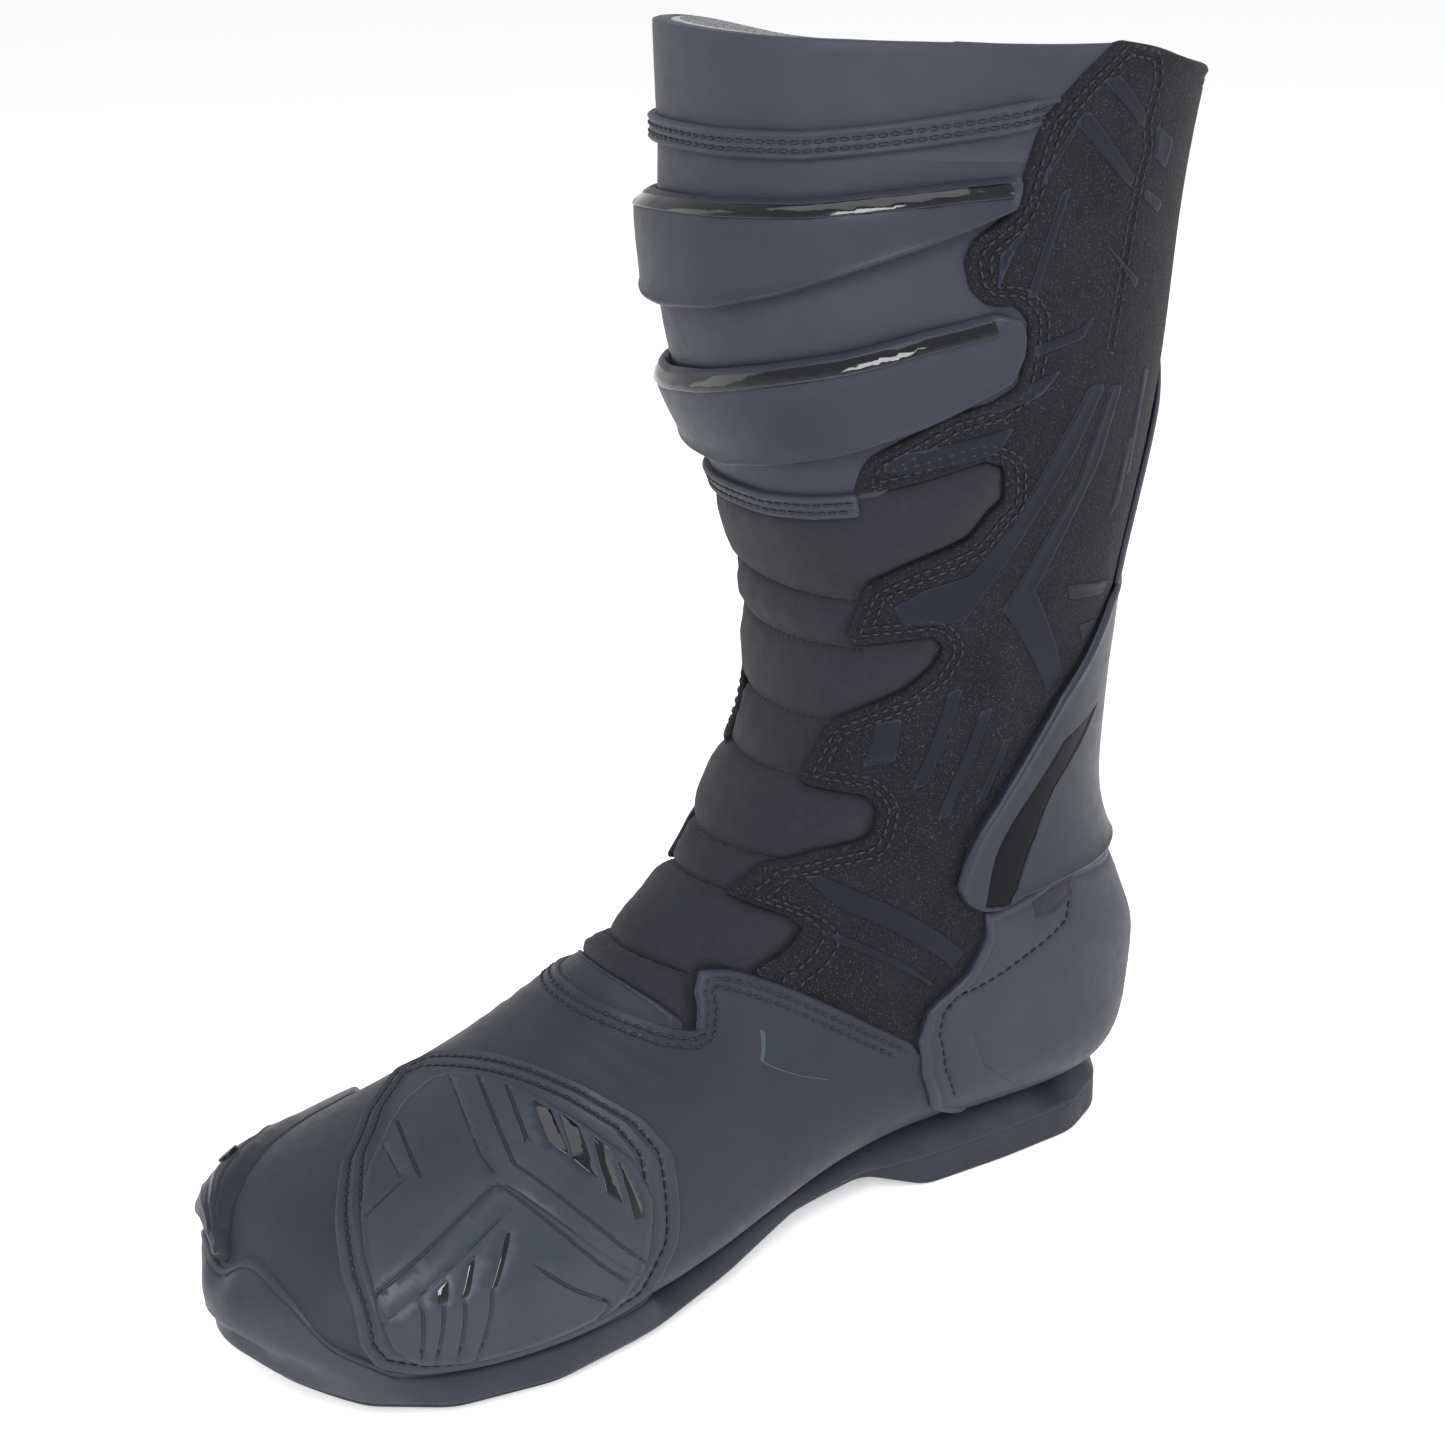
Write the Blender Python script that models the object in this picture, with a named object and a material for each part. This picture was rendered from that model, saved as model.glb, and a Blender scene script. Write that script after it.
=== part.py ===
"""A right-foot motorcycle sport boot, modelled as separate pieces on one smooth last.

Metres, +Z up. The toe points along -Y and the inner (medial) side is +X. The origin is on the ground, at the
centre of the boot's footprint box.

The boot's body is a smooth tube, the last, that runs from the leg opening down the shaft, round the ankle and
out to the toe. A place on it is a station (0 at the leg opening, 16 at the toe tip) and an angle (0 at the shin
and the instep, 90 on the medial side, 180 at the calf and under the foot, negative on the lateral side). Each
soft panel and plate is a patch of that surface, given by its outline, with an inner and an outer offset.
"""

import math

import bmesh
import bpy
import numpy as np
from mathutils import Matrix, Vector
from mathutils.geometry import delaunay_2d_cdt

MM = 0.001

# ------------------------------------------------------------------ driving dimensions, in millimetres
FOOT_ORIGIN = 143.0  # distance from the heel's reference line to the origin, forward
SIDE_ORIGIN = -0.4  # the origin's place across, towards the medial side
ANKLE_FORWARD = 62.0  # ankle axis, forward of the heel line
ANKLE_HEIGHT = 98.0
GAP = 0.35  # clearance between pieces that touch
SOLE_CLEARANCE = 0.6  # from the sole's top to the lower edges of the upper's panels
SHAFT_CELL = 14.0  # facet size on the shaft
FOOT_CELL = 14.0  # facet size on the foot

# Layers, as offsets from the last's surface: (inner, outer)
LINING = (-7.0, -5.0)
INSOLE = (-3.6, -1.8)
BASE = (-3.4, -0.7)
BELLOWS = (-3.2, -1.2)
PANEL = (0.8, 2.0)
VAMP = (0.8, 2.2)
COUNTER = (0.8, 4.0)
BUMPER = (3.6, 5.6)
PAD_BORDER = (3.6, 4.4)
PAD = (6.1, 7.3)
PLATE = (1.3, 3.9)
TRIM = (4.8, 5.6)
SHELL = (3.4, 6.2)
SHELL_INSERT = (7.0, 7.8)
FLAP = (4.6, 6.2)

# Stations of the last. Each row: front or top point (forward, up), back or bottom point (forward, up), where the
# section is widest (0 front to 1 back), medial and lateral half widths, squareness of the front, of the back on
# the medial side and of the back on the lateral side, and the shift towards the medial side.
STATIONS = [
    (143, 341, -15, 331, 0.50, 60, 62.0, 2.2, 2.2, 2.2, 0),  # leg opening
    (143, 300, -4, 288, 0.50, 60, 58.5, 2.2, 2.2, 2.2, 0),
    (143, 258, -0.5, 246, 0.50, 58, 55.0, 2.2, 2.2, 2.2, 0),
    (127.5, 214, 7.5, 206, 0.50, 53, 50.0, 2.2, 2.2, 2.2, 0),
    (118, 178, 14.5, 172, 0.50, 48, 47.0, 2.2, 2.2, 2.2, 0),
    (120, 150, 17, 140, 0.50, 44, 45.5, 2.2, 2.2, 2.2, 0),  # narrowest, above the ankle
    (132, 128, 16, 108, 0.50, 42, 43.0, 2.2, 2.4, 2.4, 0),
    (144.5, 113, 3, 76, 0.55, 40, 41.0, 2.2, 2.6, 2.6, 0),
    (155, 103, 1, 46, 0.60, 37, 38.0, 2.2, 2.6, 2.8, 0),
    (166, 95, 12.5, 23, 0.62, 35, 37.0, 2.2, 2.8, 3.2, 0),  # heel corner
    (178, 87, 54, 18, 0.62, 36, 40.0, 2.2, 2.3, 3.4, 0),
    (192, 78, 112, 17, 0.60, 41, 46.0, 2.2, 2.3, 3.4, 2),  # waist
    (213, 68, 172, 12, 0.60, 49, 50.0, 2.2, 3.4, 3.4, 6),
    (240, 58, 225, 11, 0.60, 52, 52.0, 2.3, 4.4, 3.4, 9),  # ball
    (266, 51, 262, 13, 0.60, 45, 50.0, 2.3, 4.0, 3.4, 11),
    (286, 43, 285, 17, 0.60, 32, 37.0, 2.3, 3.0, 3.0, 11),
    (296, 32, 297, 22, 0.50, 12, 11.0, 2.3, 2.6, 2.6, 10),  # toe tip
]
TOE = len(STATIONS) - 1

# The sole's plan and side view. Each row: forward, medial edge, lateral edge, underside height, top height.
SOLE = [
    (5, 6, -6, 4.0, 20.0),
    (11, 19, -21, 1.5, 19.5),
    (27, 27, -31, 0.0, 18.5),
    (55, 29, -35, 0.0, 16.5),
    (84, 29, -36, 0.0, 15.8),
    (105, 28, -38, 8.0, 15.4),
    (135, 34, -42, 7.0, 13.4),
    (165, 46, -45, 3.0, 10.6),
    (195, 56, -47, 0.5, 9.6),
    (225, 61, -46, 0.0, 9.2),
    (255, 58, -41, 1.0, 10.8),
    (277, 48, -27, 4.0, 14.0),
    (292, 31, -8, 8.0, 18.0),
    (298, 16, 4, 12.0, 19.5),
]
MIDSOLE_SHARE = 0.45  # share of the sole's thickness above the split line


# ------------------------------------------------------------------ the last
class Spline:
    """A natural cubic spline through rows of values, one row for each whole number."""

    def __init__(self, rows):
        self.rows = np.array(rows, float)
        count = len(self.rows)
        system = np.zeros((count, count))
        right = np.zeros(self.rows.shape)
        system[0, 0] = system[-1, -1] = 1
        for i in range(1, count - 1):
            system[i, i - 1 : i + 2] = (1, 4, 1)
            right[i] = 6 * (self.rows[i - 1] - 2 * self.rows[i] + self.rows[i + 1])
        self.bend = np.linalg.solve(system, right)

    def __call__(self, at):
        at = np.clip(np.asarray(at, float), 0, len(self.rows) - 1)
        low = np.minimum(at.astype(int), len(self.rows) - 2)
        u = (at - low)[..., None]
        straight = self.rows[low] * (1 - u) + self.rows[low + 1] * u
        curved = ((1 - u) ** 3 - (1 - u)) * self.bend[low] + (u**3 - u) * self.bend[low + 1]
        return straight + curved / 6


station_values = Spline(STATIONS)
sole_values = Spline(SOLE)


def last_point(station, angle):
    """Points of the last's surface: (medial, forward, up) in millimetres."""
    values = station_values(station)
    front, back, widest = values[..., 0:2], values[..., 2:4], values[..., 4:5]
    centre = front * (1 - widest) + back * widest
    length = np.linalg.norm(front - back, axis=-1)
    towards_front = (front - back) / length[..., None]
    turn = np.radians(angle)
    c, s = np.cos(turn), np.sin(turn)
    reach = np.where(c > 0, length * values[..., 4], length * (1 - values[..., 4]))
    half = np.where(s > 0, values[..., 5], values[..., 6])
    square = np.where(c > 0, values[..., 7], np.where(s > 0, values[..., 8], values[..., 9]))
    radius = (np.abs(c / reach) ** square + np.abs(s / half) ** square) ** (-1 / square)
    plane = centre + (radius * c)[..., None] * towards_front
    return np.stack([radius * s + values[..., 10], plane[..., 0], plane[..., 1]], -1)


def on_last(station, angle, offset):
    """Points at an offset outwards from the last, in metres and in the boot's frame."""
    station, angle, offset = np.broadcast_arrays(
        np.asarray(station, float), np.asarray(angle, float), np.asarray(offset, float)
    )
    step = 0.02
    ahead = last_point(np.minimum(station + step, TOE), angle)
    behind = last_point(np.maximum(station - step, 0), angle)
    along = ahead - behind
    around = last_point(station, angle + 1) - last_point(station, angle - 1)
    normal = np.cross(around, along)
    normal /= np.linalg.norm(normal, axis=-1, keepdims=True)
    return to_frame(last_point(station, angle) + normal * offset[..., None])


def to_frame(points):
    """(medial, forward, up) in millimetres to the boot's frame in metres."""
    points = np.asarray(points, float)
    flipped = np.stack([points[..., 0] - SIDE_ORIGIN, FOOT_ORIGIN - points[..., 1], points[..., 2]], -1)
    return flipped * MM


def sole_top(forward):
    """Height of the sole's top, where the upper meets it."""
    return np.interp(forward, [row[0] for row in SOLE], [row[4] for row in SOLE])


def feather_angle(station, side, outer):
    """The angle, on side 1 (medial) or -1 (lateral), where a layer of that outer offset nears the sole."""
    angles = np.linspace(60, 180, 241)
    points = on_last(station, side * angles, outer)
    above = points[:, 2] / MM > sole_top(FOOT_ORIGIN - points[:, 1] / MM) + SOLE_CLEARANCE
    return side * (angles[above][-1] if above.any() else angles[0])


def feather_line(first, last, side, outer, count):
    """Outline points just above the sole, from one station to another."""
    return [(s, float(feather_angle(s, side, outer))) for s in np.linspace(first, last, count)]


def mirrored(outline):
    """The same outline on the other side of the boot."""
    return [(s, -a) for s, a in reversed(outline)]


# ------------------------------------------------------------------ materials
PALETTE = {
    "microfibre": ((0.040, 0.043, 0.052), 0.55, 0.0),
    "suede": ((0.012, 0.012, 0.013), 0.95, 0.0),
    "stretch": ((0.022, 0.023, 0.026), 0.80, 0.0),
    "hard_shell": ((0.045, 0.050, 0.062), 0.45, 0.0),
    "gloss": ((0.008, 0.009, 0.012), 0.08, 0.0),
    "rubber": ((0.028, 0.031, 0.038), 0.60, 0.0),
    "lining": ((0.16, 0.16, 0.17), 0.95, 0.0),
    "foam": ((0.10, 0.10, 0.11), 0.95, 0.0),
    "zip_metal": ((0.10, 0.10, 0.11), 0.30, 0.9),
    "steel": ((0.45, 0.45, 0.47), 0.30, 1.0),
}


def material(name):
    """The palette's material of that name, made once."""
    found = bpy.data.materials.get(name)
    if found:
        return found
    colour, roughness, metallic = PALETTE[name]
    made = bpy.data.materials.new(name)
    made.use_nodes = True
    shader = made.node_tree.nodes["Principled BSDF"]
    shader.inputs["Base Color"].default_value = (*colour, 1.0)
    shader.inputs["Roughness"].default_value = roughness
    shader.inputs["Metallic"].default_value = metallic
    return made


# ------------------------------------------------------------------ building blocks
def new_object(name, points, faces, finish, parent, smooth_angle=35):
    """An object from points in the boot's frame, parented without moving it."""
    mesh = bpy.data.meshes.new(name)
    mesh.from_pydata([tuple(p) for p in points], [], [tuple(f) for f in faces])
    made = bmesh.new()
    made.from_mesh(mesh)
    bmesh.ops.remove_doubles(made, verts=made.verts, dist=1e-5)
    bmesh.ops.recalc_face_normals(made, faces=made.faces)
    made.to_mesh(mesh)
    made.free()
    mesh.shade_smooth()
    mesh.set_sharp_from_angle(angle=math.radians(smooth_angle))
    mesh.materials.append(material(finish))
    obj = bpy.data.objects.new(name, mesh)
    bpy.context.scene.collection.objects.link(obj)
    hang_on(obj, parent)
    return obj


def hang_on(obj, parent):
    """Parents an object to an empty and puts its origin there, with its shape left in place."""
    if parent is None:
        return
    obj.data.transform(Matrix.Translation(-parent.location))
    obj.parent = parent


def empty(name, position):
    """An empty at a joint or a body's reference point, in metres."""
    made = bpy.data.objects.new(name, None)
    made.location = position
    bpy.context.scene.collection.objects.link(made)
    bpy.context.view_layer.update()
    return made


# Outlines are triangulated in a flat plane, where facets are kept shorter around the boot than along it.
STATION_MM = 34.0
ANGLE_MM = 1.25


def flat(outline):
    """An outline in flat millimetres, so that distances along it are about true."""
    return np.array([(s * STATION_MM, a * ANGLE_MM) for s, a in outline])


def signed_area(ring):
    following = np.roll(ring, -1, axis=0)
    return 0.5 * np.sum(ring[:, 0] * following[:, 1] - following[:, 0] * ring[:, 1])


def inset(ring, distance):
    """The ring moved inwards by a distance. The ring turns anticlockwise."""
    before = ring - np.roll(ring, 1, axis=0)
    after = np.roll(ring, -1, axis=0) - ring
    normals = []
    for step in (before, after):
        unit = step / np.linalg.norm(step, axis=1, keepdims=True)
        normals.append(np.stack([-unit[:, 1], unit[:, 0]], -1))
    bisector = normals[0] + normals[1]
    scale = np.maximum(np.sum(bisector**2, axis=1, keepdims=True), 1.0)
    return ring + 2 * bisector * distance / scale


def subdivided(ring, cell):
    """The ring with points added so that no side is longer than a cell."""
    points = []
    for a, b in zip(ring, np.roll(ring, -1, axis=0)):
        pieces = max(1, math.ceil(np.linalg.norm(b - a) / cell))
        points += [a + (b - a) * k / pieces for k in range(pieces)]
    return np.array(points)


def inside(points, ring):
    """Which points lie inside the ring, by counting crossings."""
    x, y = points[:, 0], points[:, 1]
    within = np.zeros(len(points), bool)
    for a, b in zip(ring, np.roll(ring, -1, axis=0)):
        spans = (a[1] > y) != (b[1] > y)
        with np.errstate(divide="ignore", invalid="ignore"):
            crossing = (b[0] - a[0]) * (y - a[1]) / (b[1] - a[1]) + a[0]
        within ^= spans & (x < crossing)
    return within


def distance_to(points, ring):
    """Each point's distance to the nearest side of the ring."""
    nearest = np.full(len(points), 1e9)
    for a, b in zip(ring, np.roll(ring, -1, axis=0)):
        side = b - a
        share = np.clip(((points - a) @ side) / (side @ side), 0, 1)
        nearest = np.minimum(nearest, np.linalg.norm(points - a - share[:, None] * side, axis=1))
    return nearest


def triangulated(outline, cell, gap):
    """Points (flat) and triangles that fill an outline, with the boundary's point indices in order."""
    ring = flat(outline)
    if signed_area(ring) < 0:
        ring = ring[::-1]
    ring = subdivided(inset(ring, gap), cell)
    low, high = ring.min(0), ring.max(0)
    rows = np.arange(low[0] + cell / 2, high[0], cell * 0.866)
    grid = [
        (r, c + (i % 2) * cell / 2)
        for i, r in enumerate(rows)
        for c in np.arange(low[1] + cell / 4, high[1], cell)
    ]
    grid = np.array(grid).reshape(-1, 2)
    if len(grid):
        grid = grid[inside(grid, ring)]
    if len(grid):
        grid = grid[distance_to(grid, ring) > cell * 0.45]
    points = np.concatenate([ring, grid]) if len(grid) else ring
    count = len(ring)
    sides = [(i, (i + 1) % count) for i in range(count)]
    result = delaunay_2d_cdt([Vector(p) for p in points], sides, [list(range(count))], 1, 1e-6)
    return np.array([tuple(v) for v in result[0]]), [tuple(f) for f in result[2]]


def slab_faces(triangles, count):
    """The faces of a closed slab: its top, its bottom (the points that follow the first count) and its sides."""
    faces = list(triangles) + [tuple(i + count for i in reversed(f)) for f in triangles]
    owned = {(a, b) for face in triangles for a, b in zip(face, face[1:] + face[:1])}
    for a, b in sorted(owned):
        if (b, a) not in owned:
            faces.append((b, a, a + count, b + count))
    return faces


def patch_shape(outline, inner, outer, cell, gap=GAP):
    """Points and faces of a closed slab that follows the last, between two offsets."""
    spots, triangles = triangulated(outline, cell, gap)
    station, angle = spots[:, 0] / STATION_MM, spots[:, 1] / ANGLE_MM
    low = inner(station, angle) if callable(inner) else inner
    high = outer(station, angle) if callable(outer) else outer
    points = np.concatenate([on_last(station, angle, high), on_last(station, angle, low)])
    return points, slab_faces(triangles, len(spots))


def patch(name, outline, layer, finish, parent, cell=SHAFT_CELL, gap=GAP):
    """A panel or plate on the last, as its own object."""
    points, faces = patch_shape(outline, layer[0], layer[1], cell, gap)
    return new_object(name, points, faces, finish, parent)


def sleeve(name, top, bottom, layer, finish, parent, rows, columns):
    """A closed sleeve round the last, between two edges that are stations or functions of the angle."""
    angles = np.arange(columns) * 360.0 / columns
    edges = [edge(angles) if callable(edge) else np.full(columns, float(edge)) for edge in (top, bottom)]
    rings = []
    for offset in layer:
        for k in range(rows + 1):
            share = k / rows
            station = edges[0] * (1 - share) + edges[1] * share
            rings.append(on_last(station, angles, offset))
    points = np.concatenate(rings)
    faces = []
    order = list(range(rows + 1)) + list(range(2 * rows + 1, rows, -1))
    for a, b in zip(order, order[1:] + order[:1]):
        for c in range(columns):
            d = (c + 1) % columns
            faces.append((a * columns + c, a * columns + d, b * columns + d, b * columns + c))
    return new_object(name, points, faces, finish, parent)


def loft(name, sections, finish, parent, smooth_angle=35):
    """A solid through a list of closed sections with equal point counts, with filled ends."""
    count = len(sections[0])
    points = np.concatenate(sections)
    faces = [tuple(range(count))[::-1]]
    for k in range(len(sections) - 1):
        for c in range(count):
            d = (c + 1) % count
            faces.append((k * count + c, k * count + d, (k + 1) * count + d, (k + 1) * count + c))
    faces.append(tuple(range((len(sections) - 1) * count, len(sections) * count)))
    return new_object(name, points, faces, finish, parent, smooth_angle)


def rod_shape(start, end, radius, sides=12):
    """Points and faces of a round rod between two points."""
    start, end = Vector(start), Vector(end)
    turn = (end - start).to_track_quat("Z", "Y")
    ring = [
        turn @ Vector((radius * math.cos(2 * math.pi * k / sides), radius * math.sin(2 * math.pi * k / sides), 0))
        for k in range(sides)
    ]
    points = [start + r for r in ring] + [end + r for r in ring]
    faces = [tuple(range(sides))[::-1], tuple(range(sides, 2 * sides))]
    for k in range(sides):
        m = (k + 1) % sides
        faces.append((k, m, sides + m, sides + k))
    return [tuple(p) for p in points], faces


# ------------------------------------------------------------------ outlines of the panels, on the medial side
VAMP_EDGE = [(11.05, -8), (10.75, 7), (10.5, 18), (10.2, 22), (9.7, 16), (9.25, 12), (9.0, 16), (9.1, 30), (9.4, 62)]
PAD_EDGE = [
    (12.3, -36), (11.95, -4), (11.75, 20), (11.55, 44), (11.65, 66), (11.85, 82), (12.3, 95), (12.9, 97),
    (13.9, 96), (14.35, 90), (14.5, 66), (14.25, 38), (13.8, -4), (13.3, -33), (12.7, -46),
]
TOE_EDGE = [(14.3, 101), (14.65, 96), (14.85, 84), (15.1, 62), (15.3, 30), (15.4, 0)]
COUNTER_FRONT = [(7.3, 86), (7.75, 70), (8.4, 56), (8.8, 54), (9.35, 64), (9.8, 92), (10.25, 134)]
COUNTER_TOP = [(7.3, 86), (7.25, 110), (7.0, 135), (6.9, 160), (6.85, 180)]
SUEDE_FRONT = [
    (0.03, 108), (0.04, 101), (0.2, 93), (0.6, 81), (1.0, 77), (1.2, 67), (1.48, 67), (1.65, 83), (2.05, 83), (2.25, 62),
    (2.62, 40), (2.78, 40), (2.6, 74), (2.85, 78), (3.1, 67), (3.58, 36), (4.05, 32), (3.95, 58), (4.25, 56),
    (4.9, 25), (5.55, 20), (5.65, 42), (6.1, 45), (6.7, 17), (7.45, 10), (7.65, 21), (8.2, 20), (8.85, 20),
]
REAR_SHELL_EDGE = [
    (6.35, 180), (6.35, 150), (6.5, 120), (6.8, 88), (6.75, 70), (6.4, 74), (5.6, 90), (4.9, 100), (4.2, 112),
    (3.7, 126), (3.62, 150), (3.6, 180),
]
REAR_INSERT = [(4.9, 125), (5.15, 111), (6.2, 89), (6.75, 79), (6.7, 88), (6.05, 104), (5.5, 110), (5.1, 119)]
PLATE_UPPER = [
    (1.10, -62), (1.10, -23), (1.05, 0), (1.02, 14), (0.97, 32), (0.88, 50), (0.80, 74), (0.95, 74), (1.10, 60),
    (1.30, 48), (1.50, 32), (1.70, 12), (1.78, -10), (1.72, -34), (1.40, -58),
]
PLATE_LOWER = [
    (2.15, -60), (2.15, -12), (2.02, 20), (1.88, 40), (1.73, 58), (1.72, 80), (1.98, 80), (2.18, 58),
    (2.38, 36), (2.60, 22), (2.72, 2), (2.68, -14), (2.60, -36), (2.40, -56),
]
UPPER_TRIM = [(1.12, -58), (1.14, -22), (1.10, 2), (1.06, 20), (0.98, 40), (0.88, 66)]
LOWER_TRIM = [(2.18, -56), (2.18, -12), (2.06, 20), (1.92, 42), (1.78, 66)]
TRIM_WIDTH = 0.09  # stations

# The zip, on the lateral side: a straight line at one distance forward.
ZIP_FORWARD = 60.0
ZIP_TOP = 296.0
ZIP_BOTTOM = 152.5
ZIP_TAPE = 13.0
TOOTH_PITCH = 4.8
TOOTH_WIDTH = 1.8
TOOTH_ROOT = 0.9
TOOTH_REACH = 0.55
TOOTH_LIFT = 2.9
SLIDER_LENGTH = 17.0
SLIDER_WIDTH = 9.6
SLIDER_REST = 13.0
PULL_LENGTH = 30.0

# The closure tab over the top of the zip
FLAP_REAR = -128.0
FLAP_EDGE = [(0.22, -127), (0.20, -96), (0.24, -70), (0.34, -60), (0.62, -59), (0.76, -66), (0.84, -96), (0.84, -127)]
RIM_DROP = 0.18  # stations
SHAFT_END = 5.75  # station where the rigid shaft stops, at the sides
FOOT_START = 6.6


def whole(half):
    """A half outline that starts and ends at the back, completed on the lateral side."""
    return half + [(s, 360 - a) for s, a in reversed(half) if a < 180]


def lateral_angle(station, forward):
    """The angle on the lateral side where the last has that distance forward."""
    angles = np.linspace(-150, -30, 481)
    points = last_point(np.full(angles.shape, float(station)), angles)
    return float(np.interp(forward, points[:, 1], angles))


def lateral_point(forward, up, offset):
    """A point over the lateral side at a distance forward and a height, in the boot's frame."""
    stations = np.linspace(0, 6, 601)
    angles = [lateral_angle(s, forward) for s in stations]
    heights = last_point(stations, np.array(angles))[:, 2]
    station = float(np.interp(up, heights[::-1], stations[::-1]))
    return Vector(on_last(station, lateral_angle(station, forward), offset))


def zip_frame():
    """The zip's own axes: origin at its top, x down along it, y towards the toe, z away from the boot."""
    top = lateral_point(ZIP_FORWARD, ZIP_TOP, 0)
    down = (lateral_point(ZIP_FORWARD, ZIP_BOTTOM, 0) - top).normalized()
    forward = Vector((0, -1, 0))
    forward = (forward - down * forward.dot(down)).normalized()
    outward = down.cross(forward)
    place = Matrix((down, forward, outward)).transposed().to_4x4()
    place.translation = top
    return place


def extruded(name, frame, outline, low, high, finish, parent, window=None):
    """A flat piece on a frame's x and y axes, between two heights, in millimetres, with an optional hole."""
    rings = [outline] + ([window] if window else [])
    spots = [Vector(p) for ring in rings for p in ring]
    sides = []
    start = 0
    for ring in rings:
        sides += [(start + i, start + (i + 1) % len(ring)) for i in range(len(ring))]
        start += len(ring)
    result = delaunay_2d_cdt(spots, sides, [list(range(len(outline)))], 1, 1e-6)
    spots = np.array([tuple(v) for v in result[0]])
    faces = [tuple(f) for f in result[2]]
    if window:
        middles = np.array([spots[list(f)].mean(0) for f in faces])
        faces = [f for f, hidden in zip(faces, inside(middles, np.array(window))) if not hidden]
    points = [frame @ (Vector((u, v, w)) * MM) for w in (high, low) for u, v in spots]
    return new_object(name, points, slab_faces(faces, len(spots)), finish, parent)


# ------------------------------------------------------------------ the sole
def sole_section(forward, low_share, high_share, shrink=0.0):
    """A closed section across the sole, between two shares of its height, in the boot's frame."""
    row = np.array([np.interp(forward, [r[0] for r in SOLE], [r[k] for r in SOLE]) for k in range(1, 5)])
    medial, lateral, bottom, top = row
    low = bottom + (top - bottom) * low_share
    high = bottom + (top - bottom) * high_share
    medial, lateral = medial - shrink, lateral + shrink
    corner = min(2.0, (medial - lateral) * 0.12)
    profile = [
        (medial, high), (medial, low + corner), (medial - corner, low), (lateral + corner, low),
        (lateral, low + corner), (lateral, high),
    ]
    return to_frame([(x, forward, z) for x, z in profile])


def make_sole(foot):
    stops = [5, 8, 12, 18, 27, 40, 55, 70, 84, 94, 105, 120, 135, 150, 165, 180, 195, 210, 225, 240, 255, 266,
             277, 285, 292, 296, 298]
    split = 1 - MIDSOLE_SHARE
    skin = 0.02  # share of the height left between the two pieces
    outsole = [sole_section(f, 0.0, split - skin) for f in stops]
    midsole = [sole_section(f, split + skin, 1.0, 1.0) for f in stops]
    loft("outsole", outsole, "rubber", foot)
    loft("midsole", midsole, "hard_shell", foot)


def bottom_band(first, last, half_angle, layer, name, finish, foot):
    """A plate under the foot, on the bottom of the last."""
    stops = np.linspace(first, last, 7)
    ease = [0.55, 0.85, 1.0, 1.0, 1.0, 0.9, 0.6]
    left = [(s, 180 - half_angle * e) for s, e in zip(stops, ease)]
    right = [(s, 180 + half_angle * e) for s, e in zip(stops, ease)]
    patch(name, left + right[::-1], layer, finish, foot, FOOT_CELL)


def make_foot_inside(foot):
    sleeve(
        "foot_lining",
        lambda a: FOOT_START + 0.3 * np.cos(np.radians(a)),
        15.3,
        LINING,
        "lining",
        foot,
        rows=13,
        columns=24,
    )
    bottom_band(9.35, 15.5, 27, INSOLE, "insole_board", "foam", foot)
    bottom_band(9.9, 12.3, 9, (-1.1, -0.2), "shank", "steel", foot)
    bottom_band(9.3, 15.0, 27, (-11.8, -8.4), "footbed", "foam", foot)
    stiffener_top = [(8.3 + 1.25 * math.cos(math.radians(a)), a) for a in (96, 112, 130, 150, 180)]
    half = stiffener_top[::-1] + [(10.0, 104), (9.9, 128), (9.4, 146), (9.1, 160), (9.0, 180)]
    patch("heel_stiffener", whole(half), BELLOWS, "foam", foot, FOOT_CELL)
    around = (-97, -48, 0, 48, 97)
    cap = [(12.7, a) for a in around] + [(15.4, a) for a in around[::-1]]
    patch("toe_box", cap, BASE, "foam", foot, FOOT_CELL)
    tongue = [(9.5, -55), (9.5, 0), (9.5, 55), (11.0, 60), (12.4, 50), (12.4, 0), (12.4, -50), (11.0, -60)]
    patch("instep_gusset", tongue, BASE, "stretch", foot, 12.0)


def make_vamp(foot):
    lateral_top = [(s, -a) for s, a in VAMP_EDGE[:0:-1]]
    medial = feather_line(10.45, 15.9, 1, VAMP[1], 12)
    lateral = feather_line(10.45, 15.9, -1, VAMP[1], 12)
    front = [(15.9, a) for a in (90, 45, 0, -45, -90)]
    side = [(9.48, 66), (9.95, 94)]
    outline = lateral_top + VAMP_EDGE[1:] + side + medial + front + lateral[::-1]
    outline += [(s, -a) for s, a in reversed(side)]
    patch("vamp", outline, VAMP, "microfibre", foot, FOOT_CELL)
    half = [(10.6, 0), (10.58, 7), (10.35, 14), (10.15, 14), (10.0, 10), (10.03, 0)]
    tab = half + [(s, -a) for s, a in half[-2:0:-1]]
    patch("instep_tab", tab, PANEL, "hard_shell", foot, FOOT_CELL)
    patch("shift_pad_border", PAD_EDGE, PAD_BORDER, "hard_shell", foot, FOOT_CELL)
    centre = np.mean(PAD_EDGE, axis=0)
    inner = [tuple(centre + (np.array(p) - centre) * 0.78) for p in PAD_EDGE]
    patch("shift_pad", inner, PAD, "rubber", foot, FOOT_CELL)


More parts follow.
